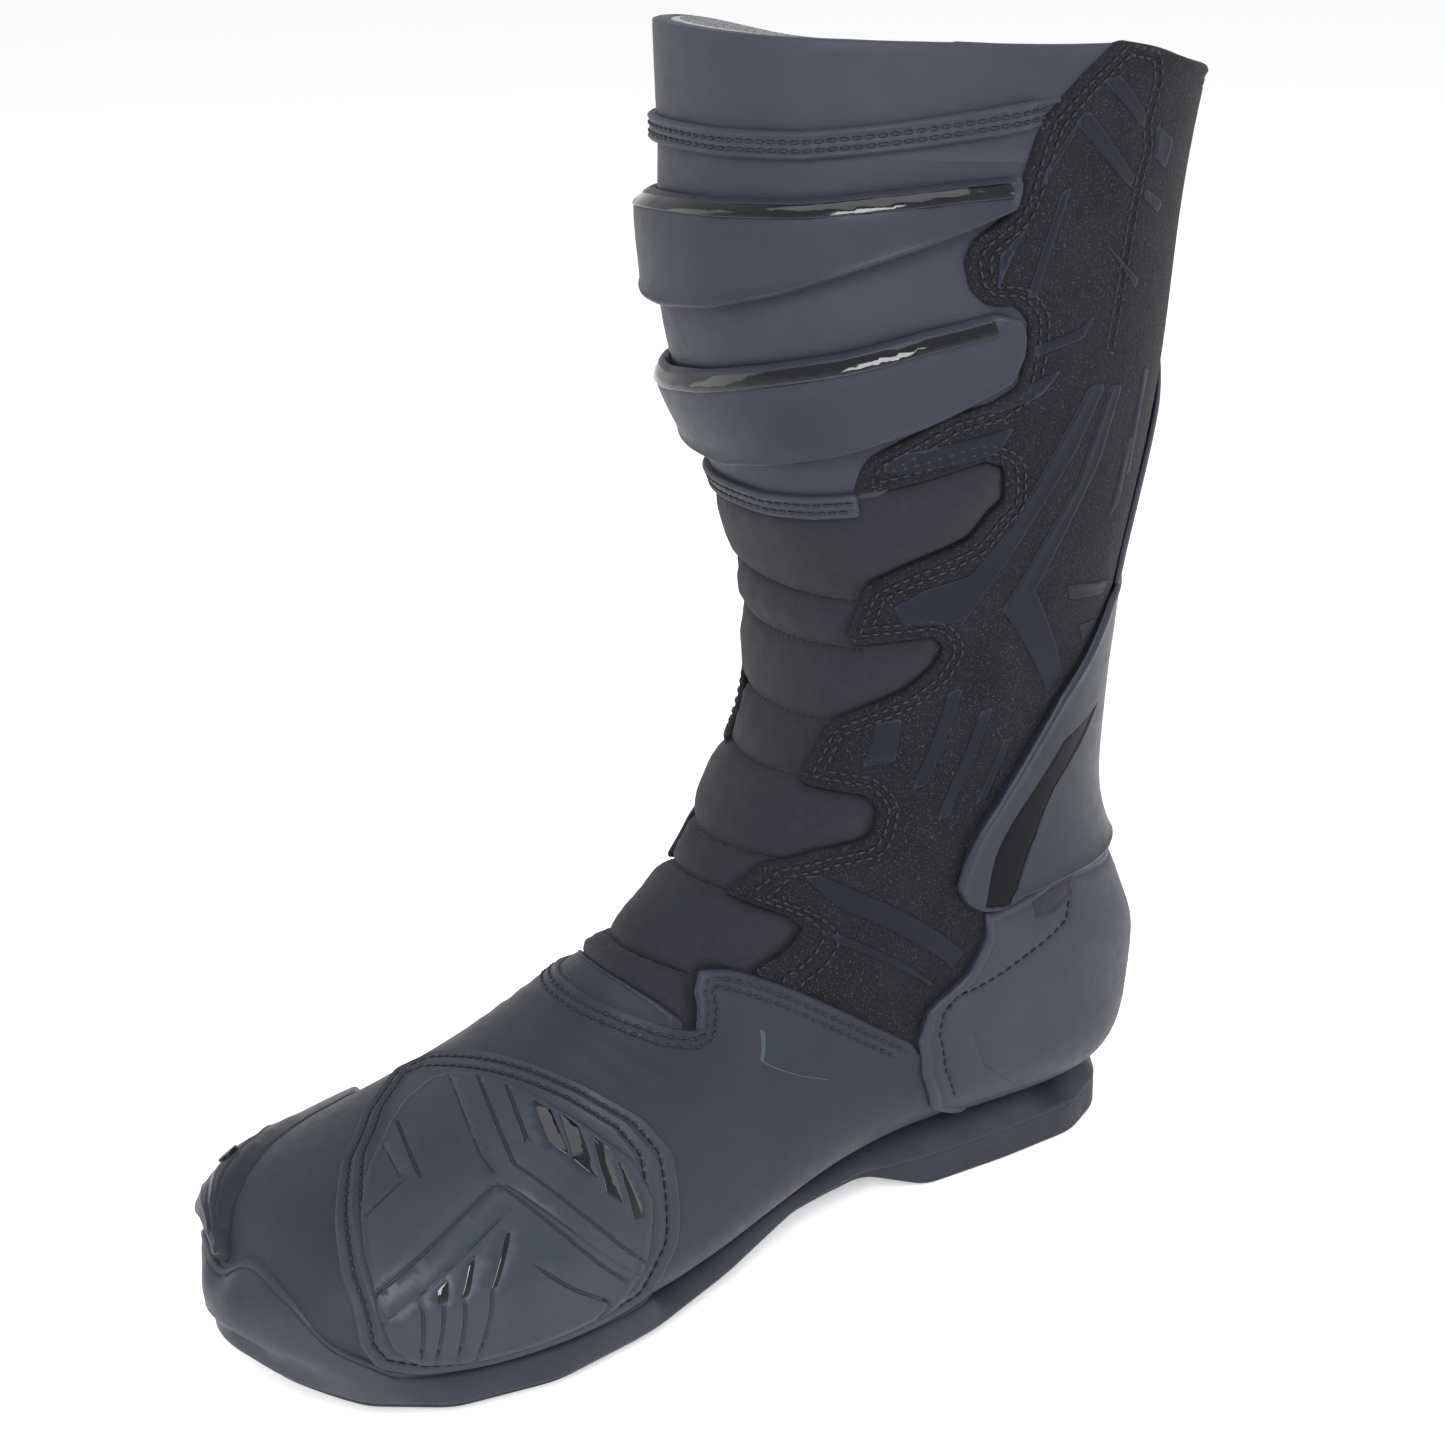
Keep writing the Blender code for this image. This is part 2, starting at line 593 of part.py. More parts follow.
def make_toe(foot):
    lateral_edge = [(15.35, -30), (15.2, -56), (15.0, -72), (14.8, -86), (14.4, -96), (13.8, -100)]
    lateral = feather_line(13.8, 15.8, -1, BUMPER[1], 8)
    medial = feather_line(14.3, 15.8, 1, BUMPER[1], 6)
    front = [(15.8, a) for a in (-90, -45, 0, 45, 90)]
    outline = TOE_EDGE + lateral_edge + lateral + front + medial[::-1]
    patch("toe_bumper", outline, BUMPER, "rubber", foot, FOOT_CELL)
    around = np.arange(24) * 15.0
    loft("toe_tip", [on_last(station, around, 0.3) for station in (15.72, 15.97)], "rubber", foot)
    slider = [(13.5, -70), (14.3, -62), (14.9, -52), (15.1, -58), (15.0, -72), (14.7, -88), (14.1, -98), (13.5, -96)]
    patch("toe_slider", slider, (3.8, 5.9), "gloss", foot, FOOT_CELL)
    for name, station, angle in (("slider_screw_rear", 13.9, -80), ("slider_screw_front", 14.5, -72)):
        start = Vector(on_last(station, angle, 5.9))
        end = Vector(on_last(station, angle, 6.9))
        points, faces = rod_shape(start, end, 3.2 * MM, 16)
        new_object(name, points, faces, "steel", foot)


def make_heel(foot):
    medial, lateral = (
        COUNTER_TOP[::-1] + COUNTER_FRONT[1:-1] + feather_line(10.25, 9.15, side, COUNTER[1], 6)
        for side in (1, -1)
    )
    lateral = [(s, a if a > 0 else -a) for s, a in lateral]
    corner = [(8.9, 170), (8.75, 180), (8.9, 190)]
    outline = medial + corner + [(s, 360 - a) for s, a in reversed(lateral) if a < 180]
    patch("heel_counter", outline, COUNTER, "microfibre", foot, FOOT_CELL)
    tab = [(7.35, 180), (7.4, 168), (7.7, 166), (8.3, 168), (8.4, 180)]
    patch("heel_tab", whole(tab), (5.2, 6.4), "rubber", foot, FOOT_CELL)


# ------------------------------------------------------------------ the shaft
def rim(angle):
    """The station of the shaft's top edge, lower at the back and on the lateral side."""
    side = (np.asarray(angle, float) + 180.0) % 360.0 - 180.0
    rear = np.clip((side - 106.0) / 44.0, 0, 1)
    lateral = np.clip((-35.0 - side) / 60.0, 0, 1)
    return 0.02 + RIM_DROP * np.maximum(rear, lateral)


def make_shaft_inside(shaft):
    sleeve(
        "shaft_lining",
        rim,
        lambda a: SHAFT_END - 0.15 * np.cos(np.radians(a)),
        LINING,
        "lining",
        shaft,
        rows=6,
        columns=24,
    )
    sleeve("collar", rim, 0.63, BASE, "microfibre", shaft, rows=1, columns=24)
    base = [(0.67, a) for a in (-100, -50, 0, 50, 100)] + [(3.0, a) for a in (100, 50, 0, -50, -100)]
    patch("shin_base", base, BASE, "microfibre", shaft)
    rear = [(0.67, a) for a in (101, 140, 180, 220, 259)] + [(3.0, a) for a in (259, 220, 180, 140, 101)]
    patch("calf_padding", rear, BASE, "foam", shaft)


def make_shin_plates(shaft):
    patch("shin_plate_upper", PLATE_UPPER, PLATE, "hard_shell", shaft, 11.0)
    patch("shin_plate_lower", PLATE_LOWER, PLATE, "hard_shell", shaft, 11.0)
    for name, edge in (("upper_plate_trim", UPPER_TRIM), ("lower_plate_trim", LOWER_TRIM)):
        outline = edge + [(s + TRIM_WIDTH, a) for s, a in reversed(edge)]
        patch(name, outline, TRIM, "gloss", shaft, 11.0)


def make_rear_shell(shaft):
    patch("rear_shell", whole(REAR_SHELL_EDGE), SHELL, "hard_shell", shaft, 11.0)
    patch("rear_shell_insert_medial", REAR_INSERT, SHELL_INSERT, "gloss", shaft, 11.0)
    patch("rear_shell_insert_lateral", mirrored(REAR_INSERT), SHELL_INSERT, "gloss", shaft, 11.0)
    guard = [(3.45, 168), (3.45, 192), (2.2, 190), (1.3, 187), (1.2, 180), (1.3, 173), (2.2, 170)]
    patch("calf_guard", guard, (3.2, 4.8), "hard_shell", shaft, 11.0)


def make_bindings(shaft):
    for name, station, low, high in (("collar_binding", 0.65, -54, 74), ("shin_binding", 3.0, -62, 62)):
        stops = np.linspace(low, high, 7)
        width = 0.07
        outline = [(station - width, a) for a in stops] + [(station + width, a) for a in stops[::-1]]
        patch(name, outline, (0.8, 2.0), "microfibre", shaft)


def make_soft_side_panels(shaft):
    counter_side = [(s - 0.12, a) for s, a in COUNTER_TOP]
    lower = [(8.9, 30), (9.18, 53), (8.78, 47), (8.3, 50), (7.6, 65), (7.15, 84)]
    medial = SUEDE_FRONT + lower + counter_side[1:-1] + [(6.73, 179), (0.22, 179), (0.22, 152), (0.14, 132)]
    patch("medial_panel", medial, PANEL, "suede", shaft)
    stops = np.linspace(4.9, 0.95, 6)
    tape_rear = [(s, lateral_angle(s, ZIP_FORWARD - ZIP_TAPE) - 0.8) for s in stops]
    tape_front = [(s, lateral_angle(s, ZIP_FORWARD + ZIP_TAPE) + 0.8) for s in stops]
    low_rear = [(s, -a) for s, a in lower + counter_side[1:-1]]
    rear = [(0.95, -179), (6.73, -179)] + low_rear[::-1]
    front_edge = [(8.85, -20), (8.2, -20), (7.45, -12), (6.7, -17), (6.1, -36), (5.65, -40), (5.55, -22), (4.9, -26)]
    front_edge += [(4.25, -50), (3.95, -50), (4.05, -30), (3.58, -34), (3.1, -52)]
    front_edge += [(3.08, tape_front[2][1] + 4)]
    body = rear + front_edge
    body += [(s, a) for s, a in reversed([t for t in tape_front if t[0] > 3.2])]
    body += [(5.05, tape_front[0][1]), (5.05, tape_rear[0][1])] + tape_rear
    patch("lateral_panel", body, PANEL, "suede", shaft)


def make_bellows(shaft):
    sleeve(
        "ankle_bellows",
        3.05,
        lambda a: 8.1 + 1.25 * np.cos(np.radians(a)),
        BELLOWS,
        "stretch",
        shaft,
        rows=14,
        columns=24,
    )


def make_zip(shaft):
    stops = np.linspace(0.97, 4.85, 9)
    for name, inner, outer in (("zip_tape_front", 1.2, ZIP_TAPE), ("zip_tape_rear", -1.2, -ZIP_TAPE)):
        near = [(s, lateral_angle(s, ZIP_FORWARD + inner)) for s in stops]
        far = [(s, lateral_angle(s, ZIP_FORWARD + outer)) for s in stops]
        patch(name, near + far[::-1], (0.8, 1.5), "stretch", shaft)
    frame = zip_frame()
    length = (lateral_point(ZIP_FORWARD, ZIP_BOTTOM, 0) - frame.translation).length / MM
    count = int((length - 6) / TOOTH_PITCH)
    for name, side in (("zip_teeth_front", 1), ("zip_teeth_rear", -1)):
        start = 3.0 if side > 0 else 3.0 + TOOTH_PITCH / 2
        profile = []
        for k in range(count):
            low = start + k * TOOTH_PITCH
            high = low + TOOTH_WIDTH
            profile += [(low, TOOTH_ROOT), (low, -TOOTH_REACH), (high, -TOOTH_REACH), (high, TOOTH_ROOT)]
        profile += [(profile[-1][0], TOOTH_ROOT + 1.1), (profile[0][0], TOOTH_ROOT + 1.1)]
        profile = [(u, side * v) for u, v in profile]
        extruded(name, frame, profile, TOOTH_LIFT - 0.9, TOOTH_LIFT + 0.9, "zip_metal", shaft)
    for name, at in (("zip_top_stop", 0.6), ("zip_bottom_stop", length - 1.0)):
        block = [(at - 1.2, -3.5), (at + 1.2, -3.5), (at + 1.2, 3.5), (at - 1.2, 3.5)]
        extruded(name, frame, block, TOOTH_LIFT - 1.2, TOOTH_LIFT + 1.2, "zip_metal", shaft)


def make_zip_slider(shaft):
    frame = zip_frame()
    slider = empty("zip_slider_origin", frame @ (Vector((SLIDER_REST, 0, TOOTH_LIFT)) * MM))
    top = TOOTH_LIFT + 1.5
    half = [(-0.5, 0.42), (-0.4, 0.5), (0.3, 0.4), (0.5, 0.26)]
    shield = [(u, v) for u, v in half] + [(u, -v) for u, v in reversed(half)]
    shield = [(SLIDER_REST + u * SLIDER_LENGTH, v * SLIDER_WIDTH) for u, v in shield]
    extruded("zip_slider", frame, shield, top, top + 1.6, "zip_metal", slider)

    # The bridge is an arch along the zip, over the pull's bar.
    axis_at, axis_up = SLIDER_REST - 3.0, top + 3.7
    arch = [(-3.4, -1.8), (-3.4, 0.8), (-2.4, 2.3), (2.4, 2.3), (3.4, 0.8), (3.4, -1.8)]
    arch += [(2.3, -1.8), (2.3, 0.5), (1.8, 1.4), (-1.8, 1.4), (-2.3, 0.5), (-2.3, -1.8)]
    sides = []
    for v in (-0.9, 0.9):
        sides.append([frame @ (Vector((axis_at + u, v, axis_up + w)) * MM) for u, w in arch])
    loft("zip_slider_bridge", [np.array(side) for side in sides], "zip_metal", slider)

    pull = empty("zip_pull_origin", frame @ (Vector((axis_at, 0, axis_up)) * MM))
    half = [(-0.8, 2.4), (0.8, 2.9), (4.5, 2.9), (7.0, 3.8), (PULL_LENGTH - 2.5, 4.6), (PULL_LENGTH, 3.4)]
    outline = [(u, v) for u, v in half] + [(u, -v) for u, v in reversed(half)]
    window = [(0.8, -1.5), (4.3, -1.5), (4.3, 1.5), (0.8, 1.5)]
    outline = [(axis_at + u, v) for u, v in outline]
    window = [(axis_at + u, v) for u, v in window]
    extruded("zip_pull", frame, outline, axis_up - 0.8, axis_up + 0.8, "rubber", pull, window)


def make_closure(shaft):
    top = Vector(on_last(0.22, FLAP_REAR, (FLAP[0] + FLAP[1]) / 2))
    bottom = Vector(on_last(0.84, FLAP_REAR, (FLAP[0] + FLAP[1]) / 2))
    hinge = empty("closure_hinge", (top + bottom) / 2)
    patch("closure_flap", FLAP_EDGE, FLAP, "microfibre", hinge)
    loop = [(0.32, -78), (0.34, -66), (0.62, -66), (0.70, -78)]
    patch("flap_loop_strip", loop, (3.3, 4.0), "lining", hinge)
    patch("flap_hook_strip", loop, (0.8, 2.6), "stretch", shaft)
    anchor = [(0.22, -130.5), (0.84, -130.5), (0.84, -142), (0.22, -142)]
    patch("flap_anchor", anchor, (2.8, 6.2), "microfibre", shaft)


def main():
    for obj in list(bpy.data.objects):
        bpy.data.objects.remove(obj)
    foot = empty("foot_origin", (0, 0, 0))
    ankle = empty("ankle_axis", to_frame((0, ANKLE_FORWARD, ANKLE_HEIGHT)))
    make_sole(foot)
    make_foot_inside(foot)
    make_vamp(foot)
    make_toe(foot)
    make_heel(foot)
    make_shaft_inside(ankle)
    make_shin_plates(ankle)
    make_bindings(ankle)
    make_soft_side_panels(ankle)
    make_bellows(ankle)
    make_rear_shell(ankle)
    make_zip(ankle)
    make_zip_slider(ankle)
    make_closure(ankle)


main()
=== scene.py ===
import math

import bmesh
import bpy
import numpy as np
from mathutils import Matrix, Vector
from mathutils.bvhtree import BVHTree
from mathutils.geometry import delaunay_2d_cdt
from mathutils.kdtree import KDTree


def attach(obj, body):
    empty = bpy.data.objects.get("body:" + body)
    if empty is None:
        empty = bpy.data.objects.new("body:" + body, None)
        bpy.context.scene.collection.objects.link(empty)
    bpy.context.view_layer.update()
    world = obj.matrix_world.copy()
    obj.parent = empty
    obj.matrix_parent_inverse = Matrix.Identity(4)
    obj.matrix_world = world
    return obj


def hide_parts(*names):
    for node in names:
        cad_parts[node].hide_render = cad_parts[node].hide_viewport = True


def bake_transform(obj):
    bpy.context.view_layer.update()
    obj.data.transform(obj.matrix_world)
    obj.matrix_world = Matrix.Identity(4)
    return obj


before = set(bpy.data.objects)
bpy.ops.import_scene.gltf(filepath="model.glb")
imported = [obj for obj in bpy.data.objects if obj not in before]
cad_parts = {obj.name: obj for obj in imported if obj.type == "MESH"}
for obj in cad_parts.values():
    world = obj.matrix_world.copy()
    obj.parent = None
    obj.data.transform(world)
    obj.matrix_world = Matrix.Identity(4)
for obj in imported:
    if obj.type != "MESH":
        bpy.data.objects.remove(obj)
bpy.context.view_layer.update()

MM = 0.001
FOOT_ORIGIN = 143.0  # from the heel's reference line forward to the origin, in millimetres
SIDE_ORIGIN = -0.4  # the origin's place across, towards the medial side

# ------------------------------------------------------------------ the last, as in the CAD
# Each row is a section: its front (forward, up), its back (forward, up), the widest place's share from
# front to back, the half widths medial and lateral, how square it is in front, behind medial and behind
# lateral, and its shift towards the medial side. The final row closes the toe.
STATIONS = [
    (143, 341, -15, 331, 0.50, 60, 62.0, 2.2, 2.2, 2.2, 0),
    (143, 300, -4, 288, 0.50, 60, 58.5, 2.2, 2.2, 2.2, 0),
    (143, 258, -0.5, 246, 0.50, 58, 55.0, 2.2, 2.2, 2.2, 0),
    (127.5, 214, 7.5, 206, 0.50, 53, 50.0, 2.2, 2.2, 2.2, 0),
    (118, 178, 14.5, 172, 0.50, 48, 47.0, 2.2, 2.2, 2.2, 0),
    (120, 150, 17, 140, 0.50, 44, 45.5, 2.2, 2.2, 2.2, 0),
    (132, 128, 16, 108, 0.50, 42, 43.0, 2.2, 2.4, 2.4, 0),
    (144.5, 113, 3, 76, 0.55, 40, 41.0, 2.2, 2.6, 2.6, 0),
    (155, 103, 1, 46, 0.60, 37, 38.0, 2.2, 2.6, 2.8, 0),
    (166, 95, 12.5, 23, 0.62, 35, 37.0, 2.2, 2.8, 3.2, 0),
    (178, 87, 54, 18, 0.62, 36, 40.0, 2.2, 2.3, 3.4, 0),
    (192, 78, 112, 17, 0.60, 41, 46.0, 2.2, 2.3, 3.4, 2),
    (213, 68, 172, 12, 0.60, 49, 50.0, 2.2, 3.4, 3.4, 6),
    (240, 58, 225, 11, 0.60, 52, 52.0, 2.3, 4.4, 3.4, 9),
    (266, 51, 262, 13, 0.60, 45, 50.0, 2.3, 4.0, 3.4, 11),
    (286, 43, 285, 17, 0.60, 32, 37.0, 2.3, 3.0, 3.0, 11),
    (296, 32, 297, 22, 0.50, 12, 11.0, 2.3, 2.6, 2.6, 10),
    (298.6, 27.5, 299.0, 26.0, 0.50, 2, 2.5, 2.2, 2.2, 2.2, 10),
]
TIP = len(STATIONS) - 1

# The sole: forward, medial edge, lateral edge, underside height, and the height of its rand's top
SOLE = [
    (3.5, 5, -5, 4.5, 21.0),
    (11, 19, -21, 1.5, 21.0),
    (27, 27, -31, 0.0, 20.0),
    (55, 29, -35, 0.0, 20.0),
    (84, 29, -36, 0.0, 20.0),
    (105, 28, -38, 8.0, 19.0),
    (135, 34, -42, 7.0, 17.0),
    (165, 46, -45, 3.0, 14.0),
    (195, 56, -47, 0.5, 12.0),
    (225, 61, -46, 0.0, 11.5),
    (255, 58, -41, 1.0, 13.0),
    (277, 48, -27, 4.0, 17.0),
    (292, 31, -8, 8.0, 20.0),
    (299.5, 15, 4, 12.0, 21.0),
]


class Spline:
    """A natural cubic spline through rows of values, one row for each whole number."""

    def __init__(self, rows):
        self.rows = np.array(rows, float)
        count = len(self.rows)
        system = np.zeros((count, count))
        right = np.zeros(self.rows.shape)
        system[0, 0] = system[-1, -1] = 1
        for i in range(1, count - 1):
            system[i, i - 1 : i + 2] = (1, 4, 1)
            right[i] = 6 * (self.rows[i - 1] - 2 * self.rows[i] + self.rows[i + 1])
        self.bend = np.linalg.solve(system, right)

    def __call__(self, at):
        at = np.clip(np.asarray(at, float), 0, len(self.rows) - 1)
        low = np.minimum(at.astype(int), len(self.rows) - 2)
        u = (at - low)[..., None]
        straight = self.rows[low] * (1 - u) + self.rows[low + 1] * u
        curved = ((1 - u) ** 3 - (1 - u)) * self.bend[low] + (u**3 - u) * self.bend[low + 1]
        return straight + curved / 6


station_values = Spline(STATIONS[:TIP])


def unit(vectors):
    return vectors / np.maximum(np.linalg.norm(vectors, axis=-1, keepdims=True), 1e-9)


def lengths_along(points):
    """The distance from a line's start to each of its points."""
    return np.concatenate([[0], np.cumsum(np.linalg.norm(np.diff(points, axis=0), axis=1))])


def eased(values, times):
    """Values round a ring, each drawn towards its neighbours."""
    for _ in range(times):
        values = (np.roll(values, 1, axis=0) + 2 * values + np.roll(values, -1, axis=0)) / 4
    return values


def grid_faces(rows, columns, rows_wrap=False, columns_wrap=True, start=0):
    """Quads between neighbouring rows of points."""
    faces = []
    for r in range(rows if rows_wrap else rows - 1):
        here, there = start + r * columns, start + (r + 1) % rows * columns
        for c in range(columns if columns_wrap else columns - 1):
            d = (c + 1) % columns
            faces.append((here + c, here + d, there + d, there + c))
    return faces


def end_caps(rows, columns, start=0):
    """The two flat ends of a tube of rows."""
    last = start + (rows - 1) * columns
    return [tuple(range(start, start + columns))[::-1], tuple(range(last, last + columns))]


def last_values(station):
    """The last's values at any station. Past the last row but one it closes to the tip."""
    station = np.asarray(station, float)
    values = station_values(np.minimum(station, TIP - 1))
    share = np.clip(station - (TIP - 1), 0, 1)[..., None]
    turn = share * math.pi / 2
    tip = np.array(STATIONS[TIP], float)
    start = np.array(STATIONS[TIP - 1], float)
    closed = start + (tip - start) * (1 - np.cos(turn))
    closed[..., 0] = start[0] + (tip[0] - start[0]) * np.sin(turn[..., 0])
    closed[..., 2] = start[2] + (tip[2] - start[2]) * np.sin(turn[..., 0])
    return np.where(share > 0, closed, values)


def last_point(station, angle):
    """Points of the last's surface: (medial, forward, up) in millimetres."""
    values = last_values(station)
    front, back, widest = values[..., 0:2], values[..., 2:4], values[..., 4:5]
    centre = front * (1 - widest) + back * widest
    length = np.linalg.norm(front - back, axis=-1)
    towards_front = (front - back) / length[..., None]
    turn = np.radians(angle)
    c, s = np.cos(turn), np.sin(turn)
    reach = np.where(c > 0, length * values[..., 4], length * (1 - values[..., 4]))
    half = np.where(s > 0, values[..., 5], values[..., 6])
    square = np.where(c > 0, values[..., 7], np.where(s > 0, values[..., 8], values[..., 9]))
    radius = (np.abs(c / reach) ** square + np.abs(s / half) ** square) ** (-1 / square)
    plane = centre + (radius * c)[..., None] * towards_front
    return np.stack([radius * s + values[..., 10], plane[..., 0], plane[..., 1]], -1)


def last_normal(station, angle):
    """Unit normals of the last, outwards, in (medial, forward, up)."""
    step = 0.02
    below = last_point(np.minimum(station + step, TIP), angle)
    above = last_point(np.maximum(station - step, 0), angle)
    along = below - above
    around = last_point(station, angle + 1) - last_point(station, angle - 1)
    return unit(np.cross(around, along))


def to_frame(points):
    """(medial, forward, up) in millimetres to the boot's frame in metres."""
    points = np.asarray(points, float)
    turned = [points[..., 0] - SIDE_ORIGIN, FOOT_ORIGIN - points[..., 1], points[..., 2]]
    return np.stack(turned, -1) * MM


def on_last(station, angle, offset):
    """Points at an offset outwards from the last, in metres and in the boot's frame."""
    station, angle, offset = np.broadcast_arrays(
        np.asarray(station, float), np.asarray(angle, float), np.asarray(offset, float)
    )
    return to_frame(last_point(station, angle) + last_normal(station, angle) * offset[..., None])


# ------------------------------------------------------------------ flat charts and outlines
class Chart:
    """Flat millimetres for outlines: the distance along the last at one angle, and around it."""

    def __init__(self, angle, around):
        self.stations = np.linspace(0, TIP, 100 * TIP + 1)
        points = last_point(self.stations, np.full(len(self.stations), float(angle)))
        steps = np.linalg.norm(np.diff(points, axis=0), axis=1)
        self.lengths = np.concatenate([[0], np.cumsum(np.maximum(steps, 0.005))])
        self.around = around

    def flat(self, outline):
        rows = np.array(outline, float)
        return np.stack(
            [np.interp(rows[:, 0], self.stations, self.lengths), rows[:, 1] * self.around], -1
        )

    def back(self, spots):
        return np.interp(spots[:, 0], self.lengths, self.stations), spots[:, 1] / self.around


SHAFT = Chart(60, 1.05)
CALF = Chart(140, 1.05)
ANKLE = Chart(45, 0.80)
FOOT = Chart(40, 0.80)
HEEL = Chart(110, 0.85)
UNDER = Chart(180, 0.75)


def signed_area(ring):
    following = np.roll(ring, -1, axis=0)
    return 0.5 * np.sum(ring[:, 0] * following[:, 1] - following[:, 0] * ring[:, 1])


def turned_left(steps):
    return np.stack([-steps[:, 1], steps[:, 0]], -1)


def inset(ring, distance):
    """The ring moved inwards by a distance. The ring turns anticlockwise."""
    before = ring - np.roll(ring, 1, axis=0)
    after = np.roll(ring, -1, axis=0) - ring
    bisector = turned_left(unit(before)) + turned_left(unit(after))
    scale = np.maximum(np.sum(bisector**2, axis=1, keepdims=True), 1.0)
    return ring + 2 * bisector * distance / scale


def resampled(line, step, closed):
    """Points at an even spacing along a line."""
    points = np.concatenate([line, line[:1]]) if closed else np.asarray(line, float)
    lengths = lengths_along(points)
    count = max(3, int(round(lengths[-1] / step)))
    at = np.linspace(0, lengths[-1], count + 1)
    if closed:
        at = at[:-1]
    return np.stack([np.interp(at, lengths, points[:, k]) for k in range(points.shape[1])], -1)


def softened(line, soft, closed):
    """A line with its corners rounded by cutting them, at about a soft distance."""
    if soft <= 0:
        return line
    ends = list(zip(line, np.roll(line, -1, axis=0)))
    if not closed:
        ends = ends[:-1]
    points = []
    for a, b in ends:
        pieces = max(1, math.ceil(np.linalg.norm(b - a) / soft))
        points += [a + (b - a) * k / pieces for k in range(pieces)]
    if not closed:
        points.append(line[-1])
    points = np.array(points)
    for _ in range(3):
        if closed:
            following = np.roll(points, -1, axis=0)
            cut = [points * 0.75 + following * 0.25, points * 0.25 + following * 0.75]
            points = np.stack(cut, 1).reshape(-1, 2)
        else:
            cut = [points[:-1] * 0.75 + points[1:] * 0.25, points[:-1] * 0.25 + points[1:] * 0.75]
            middle = np.stack(cut, 1).reshape(-1, 2)
            points = np.concatenate([points[:1], middle[1:-1], points[-1:]])
    return points


def ring_of(outline, chart, soft, step):
    """A closed, anticlockwise, evenly spaced ring in flat millimetres, with its corners rounded."""
    ring = chart.flat(outline)
    if signed_area(ring) < 0:
        ring = ring[::-1]
    return resampled(softened(ring, soft, True), step, True)


def line_of(outline, chart, soft, step, closed=False):
    """An open or closed line in flat millimetres, evenly spaced."""
    return resampled(softened(chart.flat(outline), soft, closed), step, closed)


def inside(points, ring):
    """Which points lie inside the ring, by counting crossings."""
    x, y = points[:, 0], points[:, 1]
    within = np.zeros(len(points), bool)
    for a, b in zip(ring, np.roll(ring, -1, axis=0)):
        if a[1] == b[1]:
            continue
        spans = (a[1] > y) != (b[1] > y)
        within ^= spans & (x < (b[0] - a[0]) * (y - a[1]) / (b[1] - a[1]) + a[0])
    return within


def distance_to(points, line, closed=True):
    """Each point's distance to the nearest side of a line."""
    nearest = np.full(len(points), 1e9)
    ends = list(zip(line, np.roll(line, -1, axis=0)))
    for a, b in ends if closed else ends[:-1]:
        side = b - a
        share = np.clip(((points - a) @ side) / max(side @ side, 1e-12), 0, 1)
        gap = points - a - share[:, None] * side
        nearest = np.minimum(nearest, np.einsum("ij,ij->i", gap, gap))
    return np.sqrt(nearest)


def apart(points, others, distance):
    """The points that lie at least a distance from all the others."""
    if not len(points) or not len(others):
        return points
    tree = KDTree(len(others))
    for i, p in enumerate(others):
        tree.insert((p[0], p[1], 0), i)
    tree.balance()
    keep = [tree.find((p[0], p[1], 0))[2] >= distance for p in points]
    return points[np.array(keep)]


def thinned(points, distance):
    """The points with later ones that crowd an earlier one left out."""
    cells, kept = set(), []
    for p in points:
        key = (round(p[0] / distance), round(p[1] / distance))
        if key not in cells:
            cells.add(key)
            kept.append(p)
    return np.array(kept).reshape(-1, 2)


def filled(ring, cell, rings=(), extra=()):
    """Points and triangles that fill a ring, from it, inner rings, extra points and a hexagonal grid."""
    low, high = ring.min(0), ring.max(0)
    rows = np.arange(low[0] + cell / 2, high[0], cell * 0.866)
    grid = [
        (r, c + (i % 2) * cell / 2)
        for i, r in enumerate(rows)
        for c in np.arange(low[1] + cell / 4, high[1], cell)
    ]
    grid = np.array(grid).reshape(-1, 2)
    grid = grid[inside(grid, ring)] if len(grid) else grid
    parts = [ring] + [r[inside(r, ring)] for r in rings]
    if len(extra):
        extra = thinned(np.asarray(extra), 0.25)
        extra = extra[inside(extra, ring)]
        extra = apart(extra, np.concatenate(parts), 0.3)
        parts.append(extra)
    grid = apart(grid, np.concatenate(parts), cell * 0.55)
    parts.append(grid)
    points = np.concatenate([p.reshape(-1, 2) for p in parts])
    count = len(ring)
    sides = [(i, (i + 1) % count) for i in range(count)]
    result = delaunay_2d_cdt([Vector(p) for p in points], sides, [list(range(count))], 1, 1e-7)
    return np.array([tuple(v) for v in result[0]]), [tuple(f) for f in result[2]]


def slab_faces(triangles, count):
    """The faces of a closed slab: top, bottom (the points after the first count) and sides."""
    faces = list(triangles) + [tuple(i + count for i in reversed(f)) for f in triangles]
    owned = {(a, b) for face in triangles for a, b in zip(face, face[1:] + face[:1])}
    for a, b in sorted(owned):
        if (b, a) not in owned:
            faces.append((b, a, a + count, b + count))
    return faces


def smooth_step(x):
    x = np.clip(x, 0, 1)
    return x * x * (3 - 2 * x)


